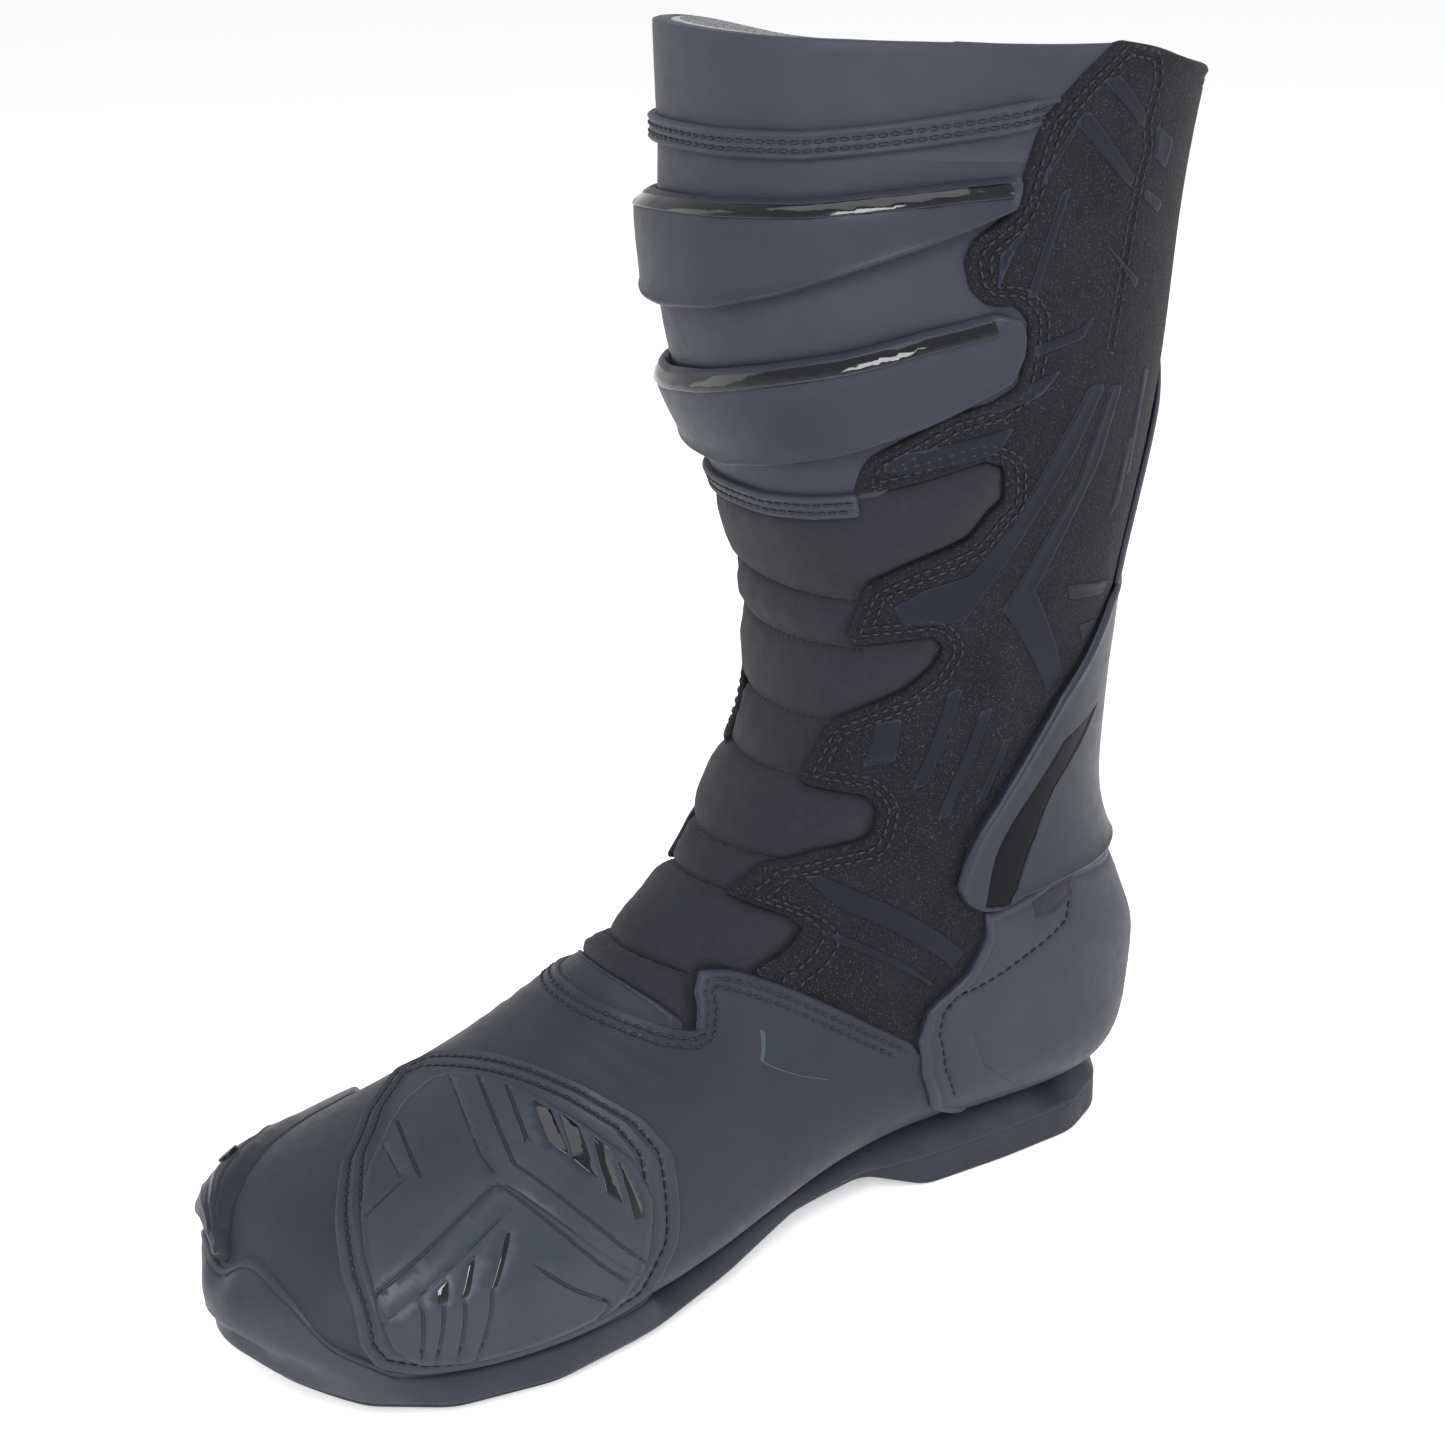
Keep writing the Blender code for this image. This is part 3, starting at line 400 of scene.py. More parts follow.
def shape(
    outline, chart, low, high, cell=3.0, edge=0.8, soft=6.0, hems=(), lines=(), bars=(), under=0.6
):
    """Points and faces of a panel on the last with rounded edges.

    hems are ridges or grooves beside the edge (distance, width, height), lines are grooves or ridges
    (line, width, height), and bars are raised or sunk areas (outline, bevel, height). under is how far the
    underside is cut back below the edge.
    """
    ring = ring_of(outline, chart, soft, cell * 0.7)
    rings = [inset(ring, edge * share) for share in (0.12, 0.42, 1.0)] if edge else []
    for distance, width, _ in hems:
        rings += [
            inset(ring, distance + width * k)
            for k in (-1.0, -0.5, 0, 0.5, 1.0)
            if distance + width * k > edge
        ]
    extra = []
    drawn = []
    for points, width, height in lines:
        line = line_of(points, chart, 0, min(cell * 0.6, 1.6))
        drawn.append((line, width, height))
        side = turned_left(unit(np.gradient(line, axis=0)))
        extra += [line + side * width * k for k in (-1.3, -0.65, 0, 0.65, 1.3)]
    areas = []
    for points, bevel, height in bars:
        area = ring_of(points, chart, 0, 1.2)
        areas.append((area, bevel, height))
        extra += [area, inset(area, bevel)]
    extra = np.concatenate(extra) if extra else ()
    spots, triangles = filled(ring, cell, rings, extra)
    station, angle = chart.back(spots)
    rise = np.zeros(len(spots))
    gap = distance_to(spots, ring)
    if edge:
        rise -= edge - np.sqrt(np.maximum(edge**2 - np.maximum(edge - gap, 0) ** 2, 0))
    for distance, width, height in hems:
        rise += height * np.exp(-(((gap - distance) / width) ** 2) * 2)
    for line, width, height in drawn:
        rise += height * (1 - smooth_step(distance_to(spots, line, False) / (width * 1.3)))
    for area, bevel, height in areas:
        within = inside(spots, area)
        rise += np.where(within, height * smooth_step(distance_to(spots, area) / bevel), 0)
    top = high(station, angle) if callable(high) else high
    bottom = low(station, angle) if callable(low) else low
    outer = on_last(station, angle, top + rise)
    spots[: len(ring)] = inset(ring, under)
    station, angle = chart.back(spots)
    return np.concatenate([outer, on_last(station, angle, bottom)]), slab_faces(triangles, len(spots))


def sleeve_shape(profile, count):
    """Points and faces of a closed band round the last, with a count of columns.

    The profile is (station, offset) pairs, each of which may be a function of the angle.
    """
    angles = np.linspace(0.0, 360.0, count, endpoint=False)
    rows = []
    for station, offset in profile:
        s = station(angles) if callable(station) else np.full(count, float(station))
        o = offset(angles) if callable(offset) else np.full(count, float(offset))
        rows.append(on_last(s, angles, o))
    return np.concatenate(rows), grid_faces(len(rows), count, rows_wrap=True)


# ------------------------------------------------------------------ making objects
def joined(shapes):
    """Several (points, faces) as one."""
    points, faces, start = [], [], 0
    for p, f in shapes:
        points.append(np.asarray(p, float))
        faces += [tuple(i + start for i in face) for face in f]
        start += len(p)
    return np.concatenate(points), faces


def build(name, shapes, finish, smooth=50):
    """An object from (points, faces) shapes, with a material."""
    points, faces = joined(shapes)
    mesh = bpy.data.meshes.new(name)
    mesh.from_pydata(points.tolist(), [], faces)
    made = bmesh.new()
    made.from_mesh(mesh)
    bmesh.ops.recalc_face_normals(made, faces=made.faces)
    made.to_mesh(mesh)
    made.free()
    mesh.shade_smooth()
    mesh.set_sharp_from_angle(angle=math.radians(smooth))
    mesh.materials.append(finish)
    obj = bpy.data.objects.new(name, mesh)
    bpy.context.scene.collection.objects.link(obj)
    return obj


def place(obj, body, slot, *nodes):
    """Puts a piece on its body, or bakes it in place across the ankle, and hides the CAD parts that it stands
    for.
    """
    if body == "ankle":
        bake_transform(obj)
    else:
        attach(obj, body)
    if nodes:
        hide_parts(*nodes)
    return obj


def stitch_shape(line, heights, chart, inset_by=0.0, closed=False, length=2.2, pause=0.9, thick=0.42):
    """Separate thread loops along a line in flat millimetres, on the last at a height."""
    if inset_by:
        line = inset(line, inset_by)
    station, angle = chart.back(np.concatenate([line, line[:1]]) if closed else line)
    height = heights(station, angle) if callable(heights) else heights
    points = on_last(station, angle, height)
    normals = last_normal(station, angle)
    normals = np.stack([normals[:, 0], -normals[:, 1], normals[:, 2]], -1)
    lengths = lengths_along(points) / MM
    pitch = length + pause
    count = int(lengths[-1] / pitch)
    if count < 1:
        return np.zeros((0, 3)), []
    starts = (np.arange(count) + 0.15) * pitch

    def at(where, rows):
        return np.stack([np.interp(where, lengths, rows[:, k]) for k in range(3)], -1)

    steps = [(0.0, 0.35, -0.25), (0.2, 0.9, 0.1), (0.5, 1.0, 0.25), (0.8, 0.9, 0.1), (1.0, 0.35, -0.25)]
    sides = 6
    rows = []
    ahead = unit(at(starts + length, points) - at(starts, points))
    for share, width, lift in steps:
        where = starts + length * share
        normal = unit(at(where, normals))
        across = np.cross(normal, ahead)
        centre = at(where, points) + normal * thick * MM * (0.2 + lift)
        for k in range(sides):
            turn = 2 * math.pi * k / sides
            rows.append(
                centre + (normal * math.cos(turn) + across * math.sin(turn)) * thick * width * MM
            )
    faces = []
    for n in range(count):
        size = (len(steps), sides)
        start = n * len(rows)
        faces += grid_faces(*size, start=start) + end_caps(*size, start=start)
    return np.stack(rows, 1).reshape(-1, 3), faces


def tube_shape(points, radius, sides=8):
    """A round closed tube along points in metres, with a radius in millimetres."""
    points = np.asarray(points, float)
    tangent = unit(np.gradient(points, axis=0))
    across = np.cross(tangent[0], (0.31, 0.55, 0.77))
    rows = []
    for p, t in zip(points, tangent):
        across = across - t * (across @ t)
        across /= np.linalg.norm(across)
        up = np.cross(t, across)
        for k in range(sides):
            turn = 2 * math.pi * k / sides
            rows.append(p + (across * math.cos(turn) + up * math.sin(turn)) * radius * MM)
    return np.array(rows), grid_faces(len(points), sides) + end_caps(len(points), sides)


# ------------------------------------------------------------------ materials
def new_material(name):
    made = bpy.data.materials.new(name)
    made.use_nodes = True
    return made, made.node_tree, made.node_tree.nodes["Principled BSDF"]


def texture(tree, kind, spot=None, **values):
    """A texture node in the object's own metres, or at another coordinate socket."""
    made = tree.nodes.new("ShaderNodeTex" + kind)
    for name, value in values.items():
        made.inputs[name].default_value = value
    tree.links.new(
        spot or tree.nodes.new("ShaderNodeTexCoord").outputs["Object"], made.inputs["Vector"]
    )
    return made


def noise(tree, scale, detail=3.0, roughness=0.55, stretch=None):
    """A noise; stretch squeezes it along an axis."""
    spot = None
    if stretch:
        mapping = tree.nodes.new("ShaderNodeMapping")
        mapping.inputs["Scale"].default_value = stretch
        tree.links.new(tree.nodes.new("ShaderNodeTexCoord").outputs["Object"], mapping.inputs["Vector"])
        spot = mapping.outputs["Vector"]
    return texture(tree, "Noise", spot, Scale=scale, Detail=detail, Roughness=roughness).outputs["Fac"]


def cells(tree, scale):
    return texture(tree, "Voronoi", Scale=scale).outputs["Distance"]


def ribs(tree, scale, direction, distortion):
    made = texture(tree, "Wave", Scale=scale, Distortion=distortion, Detail=1.0)
    made.bands_direction = direction
    return made.outputs["Fac"]


def ranged(tree, source, low, high, first=0.0, last=1.0):
    """Maps a value from low..high to first..last."""
    made = tree.nodes.new("ShaderNodeMapRange")
    for k, value in enumerate((low, high, first, last)):
        made.inputs[k + 1].default_value = value
    tree.links.new(source, made.inputs["Value"])
    return made.outputs["Result"]


def product(tree, a, b):
    made = tree.nodes.new("ShaderNodeMath")
    made.operation = "MULTIPLY"
    tree.links.new(a, made.inputs[0])
    tree.links.new(b, made.inputs[1])
    return made.outputs["Value"]


def mixed(tree, factor, first, second):
    """A colour between two colours or colour sockets."""
    made = tree.nodes.new("ShaderNodeMix")
    made.data_type = "RGBA"
    tree.links.new(factor, made.inputs["Factor"])
    for socket, value in ((made.inputs[6], first), (made.inputs[7], second)):
        if isinstance(value, tuple):
            socket.default_value = (*value, 1.0)
        else:
            tree.links.new(value, socket)
    return made.outputs[2]


SOCKETS = {
    "shine": "Specular IOR Level",
    "sheen": "Sheen Weight",
    "sheen_rough": "Sheen Roughness",
    "metallic": "Metallic",
}


def dressed(name, make_surface, **values):
    """A material from its colour, its roughness and its bumps, coarse first: (height, metres, strength)."""
    made, tree, shader = new_material(name)
    colour, rough, bumps = make_surface(tree)
    tree.links.new(colour, shader.inputs["Base Color"])
    tree.links.new(rough, shader.inputs["Roughness"])
    for key, value in values.items():
        shader.inputs[SOCKETS[key]].default_value = value
    normal = None
    for height, distance, strength in bumps:
        bump = tree.nodes.new("ShaderNodeBump")
        bump.inputs["Distance"].default_value = distance
        bump.inputs["Strength"].default_value = strength
        tree.links.new(height, bump.inputs["Height"])
        if normal:
            tree.links.new(normal, bump.inputs["Normal"])
        normal = bump.outputs["Normal"]
    tree.links.new(normal, shader.inputs["Normal"])
    return made


def shade(colour, factor):
    return tuple(c * factor for c in colour)


def clouded(tree, scale, colour, dark, light, low=0.3, high=0.7, detail=4.0):
    """A colour that drifts between a darker and a lighter shade, and the noise that it follows."""
    cloud = noise(tree, scale, detail)
    return mixed(tree, ranged(tree, cloud, low, high), shade(colour, dark), shade(colour, light)), cloud


def make_smooth_material(
    name, colour, rough, grain, grain_depth, vary=0.08, sheen=0.0, edge_wear_and_highlight=1.2, shine=0.22
):
    """A moulded or coated surface: fine grain, faint clouding, and lighter convex edges that are partly
    rubbed wear and partly a painted highlight.
    """

    def surface(tree):
        base, _ = clouded(tree, 38, colour, 1 - vary, 1 + vary, 0.35, 0.65)
        # Painted highlight: convex edges (high pointiness) are painted lighter, partly standing for rubbed
        # wear.
        edge = tree.nodes.new("ShaderNodeNewGeometry").outputs["Pointiness"]
        base = mixed(tree, ranged(tree, edge, 0.51, 0.56), base, shade(colour, edge_wear_and_highlight))
        smear = noise(tree, 210, 5.0, 0.6)
        roughness = ranged(tree, smear, 0.3, 0.7, rough * 0.88, min(1.0, rough * 1.12))
        return base, roughness, [(smear, 0.0004, 0.12), (cells(tree, grain), grain_depth, 0.5)]

    return dressed(name, surface, shine=shine, sheen=sheen, sheen_rough=0.5)


def make_suede(name, colour):
    """Brushed suede: a very matt nap, darker and lighter patches, and sparse fibre tips painted lighter as a
    glint (painted highlight), with slightly lower roughness.
    """

    def surface(tree):
        base, _ = clouded(tree, 60, colour, 0.75, 1.3)
        fibre_tip_glint = noise(tree, 2100, 2.0, 0.5)
        # Painted glint: sparse fibre tips are painted a lighter colour as sparkle.
        base = mixed(tree, ranged(tree, fibre_tip_glint, 0.61, 0.73), base, (0.054, 0.056, 0.069))
        nap = noise(tree, 700, 4.0)
        return base, ranged(tree, fibre_tip_glint, 0.3, 0.8, 1.0, 0.75), [
            (nap, 0.0006, 0.5), (fibre_tip_glint, 0.0003, 0.5)
        ]

    return dressed(name, surface, shine=0.22, sheen=0.04, sheen_rough=0.4)


def make_weave(name, colour, scale, depth, light=1.5):
    """A fine woven stretch fabric: two crossing sets of threads and small slubs."""

    def surface(tree):
        threads = product(tree, ribs(tree, scale, "X", 1.5), ribs(tree, scale, "Z", 1.5))
        slub = noise(tree, 420, 3.0)
        cloud = noise(tree, 45, 3.0)
        base = mixed(tree, ranged(tree, threads, 0.0, 0.9), shade(colour, 0.7), shade(colour, light))
        base = mixed(tree, ranged(tree, cloud, 0.3, 0.7, 0.0, 0.35), base, shade(colour, 1.4))
        return base, ranged(tree, slub, 0.3, 0.7, 0.79, 0.91), [
            (slub, 0.0004, 0.25), (threads, depth, 0.6)
        ]

    return dressed(name, surface, shine=0.3, sheen=0.05, sheen_rough=0.5)


def make_mesh_lining(name, colour):
    """An open knitted mesh: round cells in a pale yarn over a darker foam."""

    def surface(tree):
        yarn = ranged(tree, cells(tree, 1150), 0.10, 0.45)
        fuzz = noise(tree, 2200, 2.0)
        base = mixed(tree, yarn, shade(colour, 0.6), colour)
        base = mixed(tree, ranged(tree, fuzz, 0.45, 0.75, 0.0, 0.4), base, shade(colour, 1.5))
        return base, ranged(tree, fuzz, 0.3, 0.7, 0.85, 1.0), [(yarn, 0.0004, 0.6), (fuzz, 0.0002, 0.4)]

    return dressed(name, surface, sheen=0.2)


def make_gloss(name, colour, rough):
    """Polished black plastic with faint orange peel and hairline scuffs."""

    def surface(tree):
        base, haze = clouded(tree, 90, colour, 0.8, 1.3)
        scuff = noise(tree, 500, 4.0, 0.7, (1.0, 1.0, 6.0))
        roughness = ranged(tree, scuff, 0.55, 0.8, rough, rough * 2.6)
        return base, roughness, [(haze, 0.0002, 0.1), (scuff, 0.00003, 0.2)]

    return dressed(name, surface, shine=0.55)


def make_metal(name, colour, rough):
    """Metal with brushing and a random darker clouding."""

    def surface(tree):
        brush = noise(tree, 900, 3.0, 0.6, (1.0, 1.0, 8.0))
        base, _ = clouded(tree, 160, colour, 1.0, 0.55, 0.35)
        return base, ranged(tree, brush, 0.3, 0.7, rough * 0.7, rough * 1.4), [(brush, 0.00008, 0.3)]

    return dressed(name, surface, metallic=1.0)


def make_thread(name, colour):
    """Bonded sewing thread: a fine twist and a slight wax shine."""

    def surface(tree):
        twist = ribs(tree, 900, "DIAGONAL", 2.0)
        base = mixed(tree, twist, shade(colour, 0.6), shade(colour, 1.5))
        return base, ranged(tree, twist, 0.0, 1.0, 0.7, 0.45), [(twist, 0.0001, 0.5)]

    return dressed(name, surface)


def make_pile(name, colour, scale):
    """Hook or loop tape: a dense field of small loops."""

    def surface(tree):
        loops = cells(tree, scale)
        fuzz = noise(tree, scale * 2.5, 3.0)
        base = mixed(tree, ranged(tree, loops, 0.1, 0.6), shade(colour, 1.6), shade(colour, 0.5))
        return base, ranged(tree, fuzz, 0.3, 0.7, 0.8, 1.0), [(loops, 0.0012, 0.8), (fuzz, 0.0004, 0.5)]

    return dressed(name, surface)


def make_foam(name, colour, scale=420):
    """Open-cell foam or felt board: pores and mottling."""

    def surface(tree):
        pores = cells(tree, scale)
        base, mottle = clouded(tree, 70, colour, 0.8, 1.2)
        base = mixed(tree, ranged(tree, pores, 0.0, 0.35, 0.6, 0.0), base, shade(colour, 0.4))
        roughness = ranged(tree, mottle, 0.3, 0.7, 0.85, 1.0)
        return base, roughness, [(pores, 0.0008, 0.5), (mottle, 0.0006, 0.2)]

    return dressed(name, surface)


MICRO = make_smooth_material(
    "microfibre_coat", (0.0275, 0.0295, 0.0420), 0.56, 2600, 0.00006, sheen=0.03
)
VAMP_FINISH = make_smooth_material(
    "vamp_coat", (0.0205, 0.0222, 0.0318), 0.54, 2600, 0.00006, sheen=0.02
)
COUNTER_FINISH = make_smooth_material("counter_moulding", (0.0280, 0.0305, 0.0420), 0.50, 2400, 0.00005)
PLATE_FINISH = make_smooth_material("plate_moulding", (0.0225, 0.0246, 0.0345), 0.46, 3200, 0.00003)
SHELL_FINISH = make_smooth_material("shell_moulding", (0.0185, 0.0206, 0.0290), 0.42, 3000, 0.00003)
# The film's edge lightening is doubled: a painted highlight along its bevelled edges.
FILM = make_smooth_material(
    "welded_film", (0.0086, 0.0096, 0.0150), 0.44, 2600, 0.00004, edge_wear_and_highlight=2.4, shine=0.12
)
PAD_FINISH = make_smooth_material(
    "pad_rubber", (0.0250, 0.0292, 0.0400), 0.42, 2200, 0.00005, shine=0.26
)
SOLE_FINISH = make_smooth_material(
    "sole_rubber", (0.0245, 0.0268, 0.0370), 0.46, 1500, 0.00008, vary=0.15
)
TREAD_FINISH = make_smooth_material(
    "tread_rubber", (0.0210, 0.0226, 0.0300), 0.62, 1200, 0.00014, vary=0.2
)
SUEDE = make_suede("suede_nap", (0.0070, 0.0070, 0.0092))
STRETCH = make_weave("bellows_fabric", (0.0124, 0.0128, 0.0178), 1700, 0.00010)
TAPE = make_weave("zip_tape_weave", (0.012, 0.012, 0.014), 420, 0.0003, light=1.8)
LINING = make_mesh_lining("lining_mesh", (0.24, 0.245, 0.26))
GLOSS = make_gloss("gloss_black", (0.0035, 0.004, 0.006), 0.05)
INSERT_BLACK = make_smooth_material(
    "shell_insert_black", (0.0022, 0.0024, 0.0034), 0.34, 2600, 0.00003, shine=0.10
)
PRINT = make_smooth_material("print_ink", (0.042, 0.060, 0.085), 0.5, 2400, 0.00003)
THREAD = make_thread("thread", (0.0035, 0.0035, 0.0050))
DARK_STEEL = make_metal("blackened_steel", (0.028, 0.030, 0.036), 0.38)
ZIP_METAL = make_metal("gunmetal", (0.16, 0.165, 0.18), 0.32)
STEEL = make_metal("steel", (0.50, 0.50, 0.52), 0.28)
LOOP = make_pile("loop_pile", (0.030, 0.030, 0.034), 900)
HOOK = make_pile("hook_pile", (0.016, 0.016, 0.018), 620)
FOAM = make_foam("foam", (0.11, 0.11, 0.12))
BOARD = make_foam("fibre_board", (0.17, 0.14, 0.10), 900)
FOOTBED = make_weave("footbed_cloth", (0.09, 0.092, 0.10), 300, 0.0003, light=1.35)


# ------------------------------------------------------------------ outlines: (station, angle), medial
SUEDE_EDGE = [
    (0, 102), (0.20, 92), (0.45, 82), (0.62, 80), (0.85, 78), (1.0, 76), (1.18, 67), (1.30, 65),
    (1.48, 67),
    (1.58, 72), (1.58, 80), (1.68, 84), (1.85, 84), (2.08, 82), (2.18, 74), (2.25, 62), (2.53, 43),
    (2.62, 40),
    (2.80, 37), (2.75, 46), (2.55, 72), (2.60, 78), (2.83, 78), (2.90, 74), (3.10, 67), (3.30, 50),
    (3.48, 38),
    (3.58, 36), (4.00, 30), (4.05, 32), (3.98, 42), (3.90, 57), (4.03, 60), (4.23, 56), (4.45, 48),
    (4.80, 28),
    (4.93, 24), (5.53, 20), (5.60, 22), (5.60, 41), (5.75, 46), (6.00, 45), (6.15, 42), (6.38, 29),
    (6.75, 16),
    (7.38, 10), (7.50, 10), (7.62, 20), (7.80, 22), (8.22, 20), (8.83, 17), (9.10, 18),
]
VAMP_TOP = [
    (10.58, 0), (10.58, 7), (10.52, 14), (10.44, 22), (10.30, 25), (10.15, 22), (9.68, 15), (9.25, 12),
    (9.02, 14),
    (8.98, 18), (9.03, 24), (9.15, 32), (9.28, 44), (9.40, 64),
]
SEAMS = [
    [(3.66, 40), (3.68, 15), (3.66, -15), (3.64, -38)],
    [(4.10, 34), (4.14, 10), (4.14, -12), (4.10, -32)],
    [(4.86, 28), (4.90, 8), (4.90, -10), (4.86, -28)],
    [(5.52, 24), (5.55, 5), (5.55, -6), (5.52, -24)],
    [(6.62, 22), (6.66, 5), (6.66, -6), (6.62, -22)],
    [(7.40, 14), (7.42, 3), (7.42, -4), (7.40, -14)],
    [(9.34, 15), (9.42, 5), (9.42, -5), (9.34, -15)],
]
FILMS = [
    [(0.23, 98), (0.20, 104), (0.43, 115), (0.53, 115)],
    [(0.48, 91), (0.40, 95), (0.83, 115), (0.87, 112)],
    [(0.50, 120), (0.60, 129), (0.78, 127), (0.70, 121)],
    [(0.88, 119), (0.98, 128), (1.05, 126), (0.95, 119)],
    [(0.36, 95), (0.58, 91), (0.88, 83), (0.74, 84.5)],
    [(0.88, 90), (0.85, 93), (1.53, 85.5), (1.53, 82.5)],
    [(1.08, 81), (1.30, 77), (1.50, 74), (1.26, 74)],
    [(1.20, 106), (1.45, 121), (1.52, 120), (1.38, 114)],
    [(1.83, 86), (1.74, 100), (1.64, 106), (1.80, 102), (1.90, 86)],
    [(2.24, 68), (2.08, 82), (1.98, 96), (2.15, 89), (2.24, 76)],
    [(2.57, 46), (2.50, 50), (2.41, 66), (2.33, 81), (2.49, 76), (2.54, 70), (2.64, 49), (2.62, 45)],
    [
        (2.10, 106), (2.10, 112), (2.53, 102), (3.76, 66), (3.80, 54), (3.80, 47), (3.64, 45),
        (3.48, 54), (3.37, 67), (3.03, 79), (2.58, 92)
    ],
    [
        (2.12, 114), (2.12, 119), (2.62, 112), (3.55, 90), (4.38, 108), (4.58, 102), (3.68, 78),
        (3.28, 88), (2.75, 103)
    ],
    [(2.50, 125.5), (2.50, 128), (2.95, 124.5), (3.08, 119)],
    [(2.05, 129), (2.05, 132), (2.75, 129), (2.80, 126)],
    [(3.55, 103), (3.62, 126), (3.74, 125), (3.68, 105)],
    [(3.95, 112), (3.95, 124), (4.08, 121), (4.12, 116)],
    [(4.80, 40), (4.72, 48), (5.20, 48), (5.30, 38)],
    [(4.44, 62), (4.40, 67), (5.44, 60), (5.50, 55)],
    [(4.66, 74), (4.62, 79), (5.80, 71), (5.86, 66)],
    [(4.98, 86), (4.94, 91), (5.62, 86), (5.68, 81)],
    [(6.82, 24), (6.74, 28), (7.75, 66), (8.05, 60), (7.25, 29)],
    [(7.73, 27), (8.33, 53), (8.43, 53), (7.93, 27)],
]
REAR_SEAM = [
    (0.06, 106), (0.10, 116), (0.25, 118), (0.50, 116), (0.65, 118), (0.83, 116), (1.10, 115),
    (1.45, 114), (1.88, 112), (1.90, 117)
]
COUNTER_EDGE = [
    (6.42, 180), (6.44, 160), (6.48, 140), (6.56, 123), (6.66, 115), (6.84, 104), (6.95, 94),
    (7.05, 84), (7.12, 78),
    (7.45, 76), (8.03, 67), (8.55, 56), (8.80, 54), (9.05, 57), (9.35, 64), (9.83, 92), (10.20, 125),
]
COUNTER_SEAM = [
    (6.80, 126), (7.18, 120), (7.45, 108), (8.12, 77), (8.45, 62), (8.78, 60), (9.10, 66), (9.62, 94),
    (9.95, 122)
]
SHELL_EDGE = [
    (6.35, 180), (6.42, 152), (6.60, 125), (6.82, 100), (7.02, 86), (7.05, 75), (6.93, 69), (6.70, 68),
    (6.35, 75),
    (5.65, 89), (4.98, 99), (4.62, 106), (4.23, 118), (3.80, 130), (3.66, 150), (3.62, 180),
]
SHELL_INSERT = [
    (4.78, 131), (5.05, 112), (5.60, 102), (6.25, 89), (6.98, 77), (6.95, 90), (6.70, 97), (6.08, 109),
    (5.55, 115), (5.20, 122)
]
PLATE_1 = [
    (1.12, -66), (1.10, -23), (1.07, -12), (1.05, 0), (1.03, 12), (0.98, 30), (0.90, 45), (0.83, 62),
    (0.79, 77),
    (0.98, 76), (1.12, 64), (1.28, 50), (1.43, 38), (1.58, 26), (1.70, 12), (1.76, -4), (1.76, -16),
    (1.64, -40), (1.36, -62),
]
PLATE_2 = [
    (2.16, -62), (2.16, -10), (2.10, 6), (2.00, 22), (1.88, 39), (1.73, 56), (1.62, 74), (1.64, 80),
    (1.74, 82),
    (1.88, 82), (2.05, 79), (2.20, 66), (2.35, 52), (2.50, 38), (2.60, 24), (2.70, 4), (2.68, -12),
    (2.60, -38), (2.38, -60),
]
TRIM_1 = [
    (1.12, -63), (1.10, -23), (1.07, -12), (1.05, 0), (1.03, 12), (0.98, 30), (0.90, 45), (0.83, 62),
    (0.80, 74)
]
TRIM_2 = [(2.17, -59), (2.16, -10), (2.10, 6), (2.00, 22), (1.88, 39), (1.73, 56), (1.63, 73)]
PAD_OUTER = [
    (12.33, -38), (11.98, -5), (11.80, 13), (11.62, 32), (11.53, 50), (11.60, 65), (11.78, 77),
    (12.05, 95), (12.40, 107),
    (12.80, 107), (13.15, 106), (13.58, 105.5), (14.0, 104), (14.42, 99), (14.56, 90), (14.53, 66),
    (14.28, 40), (13.83, -4),
    (13.30, -33), (12.68, -50),
]
PAD_INNER = [
    (14.22, 62), (14.03, 44), (13.65, 15), (13.2, -10), (12.90, -19), (12.55, -19), (12.35, -10),
    (12.08, 18), (11.93, 44), (11.88, 62), (12.0, 77),
    (12.33, 96), (12.60, 103), (13.10, 102.5), (13.60, 101.5), (14.05, 99), (14.25, 92), (14.32, 80),
]
TOE_CUP = [
    (12.30, 112), (12.70, 109), (13.05, 107), (13.83, 106), (14.28, 102), (14.48, 96), (14.72, 92),
    (14.92, 86), (15.08, 77),
    (15.20, 64), (15.24, 46), (15.33, 30), (15.45, 22), (15.68, 20), (15.86, 8), (15.92, -20),
    (15.84, -50), (15.62, -72),
    (15.25, -88), (14.75, -98), (14.2, -104), (13.4, -108), (12.5, -112),
]

ZIP_FORWARD = 60.0
ZIP_TOP = 296.0
ZIP_BOTTOM = 152.5
TOOTH_LIFT = 2.9


def mirrored(outline):
    """The same outline on the other side of the boot."""
    return [(s, -a) for s, a in reversed(outline)]


def whole(half):
    """A half outline that starts and ends at the back, completed on the lateral side."""
    return half + [(s, 360 - a) for s, a in reversed(half) if a < 180]


def beside(line, distance):
    """A line in flat millimetres moved sideways (left of its direction), without loops at tight turns."""
    moved = line + turned_left(unit(np.gradient(line, axis=0))) * distance
    clear = distance_to(moved, line, False) > abs(distance) * 0.9
    return resampled(softened(moved[clear], 2.0, False), 1.0, False)


def beside_true(line, distance, chart):
    """A line in flat millimetres moved sideways by a distance measured on the last itself."""
    s, a = chart.back(line)
    points = last_point(s, a)
    side = np.cross(last_normal(s, a), unit(np.gradient(points, axis=0))) * distance
    along = (last_point(s + 0.02, a) - points) / 0.02
    around = last_point(s, a + 1) - points
    moved = []
    for k in range(len(s)):
        step = np.linalg.lstsq(np.stack([along[k], around[k]], -1), side[k], rcond=None)[0]
        moved.append((s[k] + step[0], a[k] + step[1]))
    moved = np.array(moved)
    there = last_point(moved[:, 0], moved[:, 1])
    gap = np.min(np.linalg.norm(there[:, None] - points[None], axis=2), axis=1)
    kept = chart.flat(moved[gap > abs(distance) * 0.9])
    return resampled(softened(kept, 2.0, False), 0.7, False)


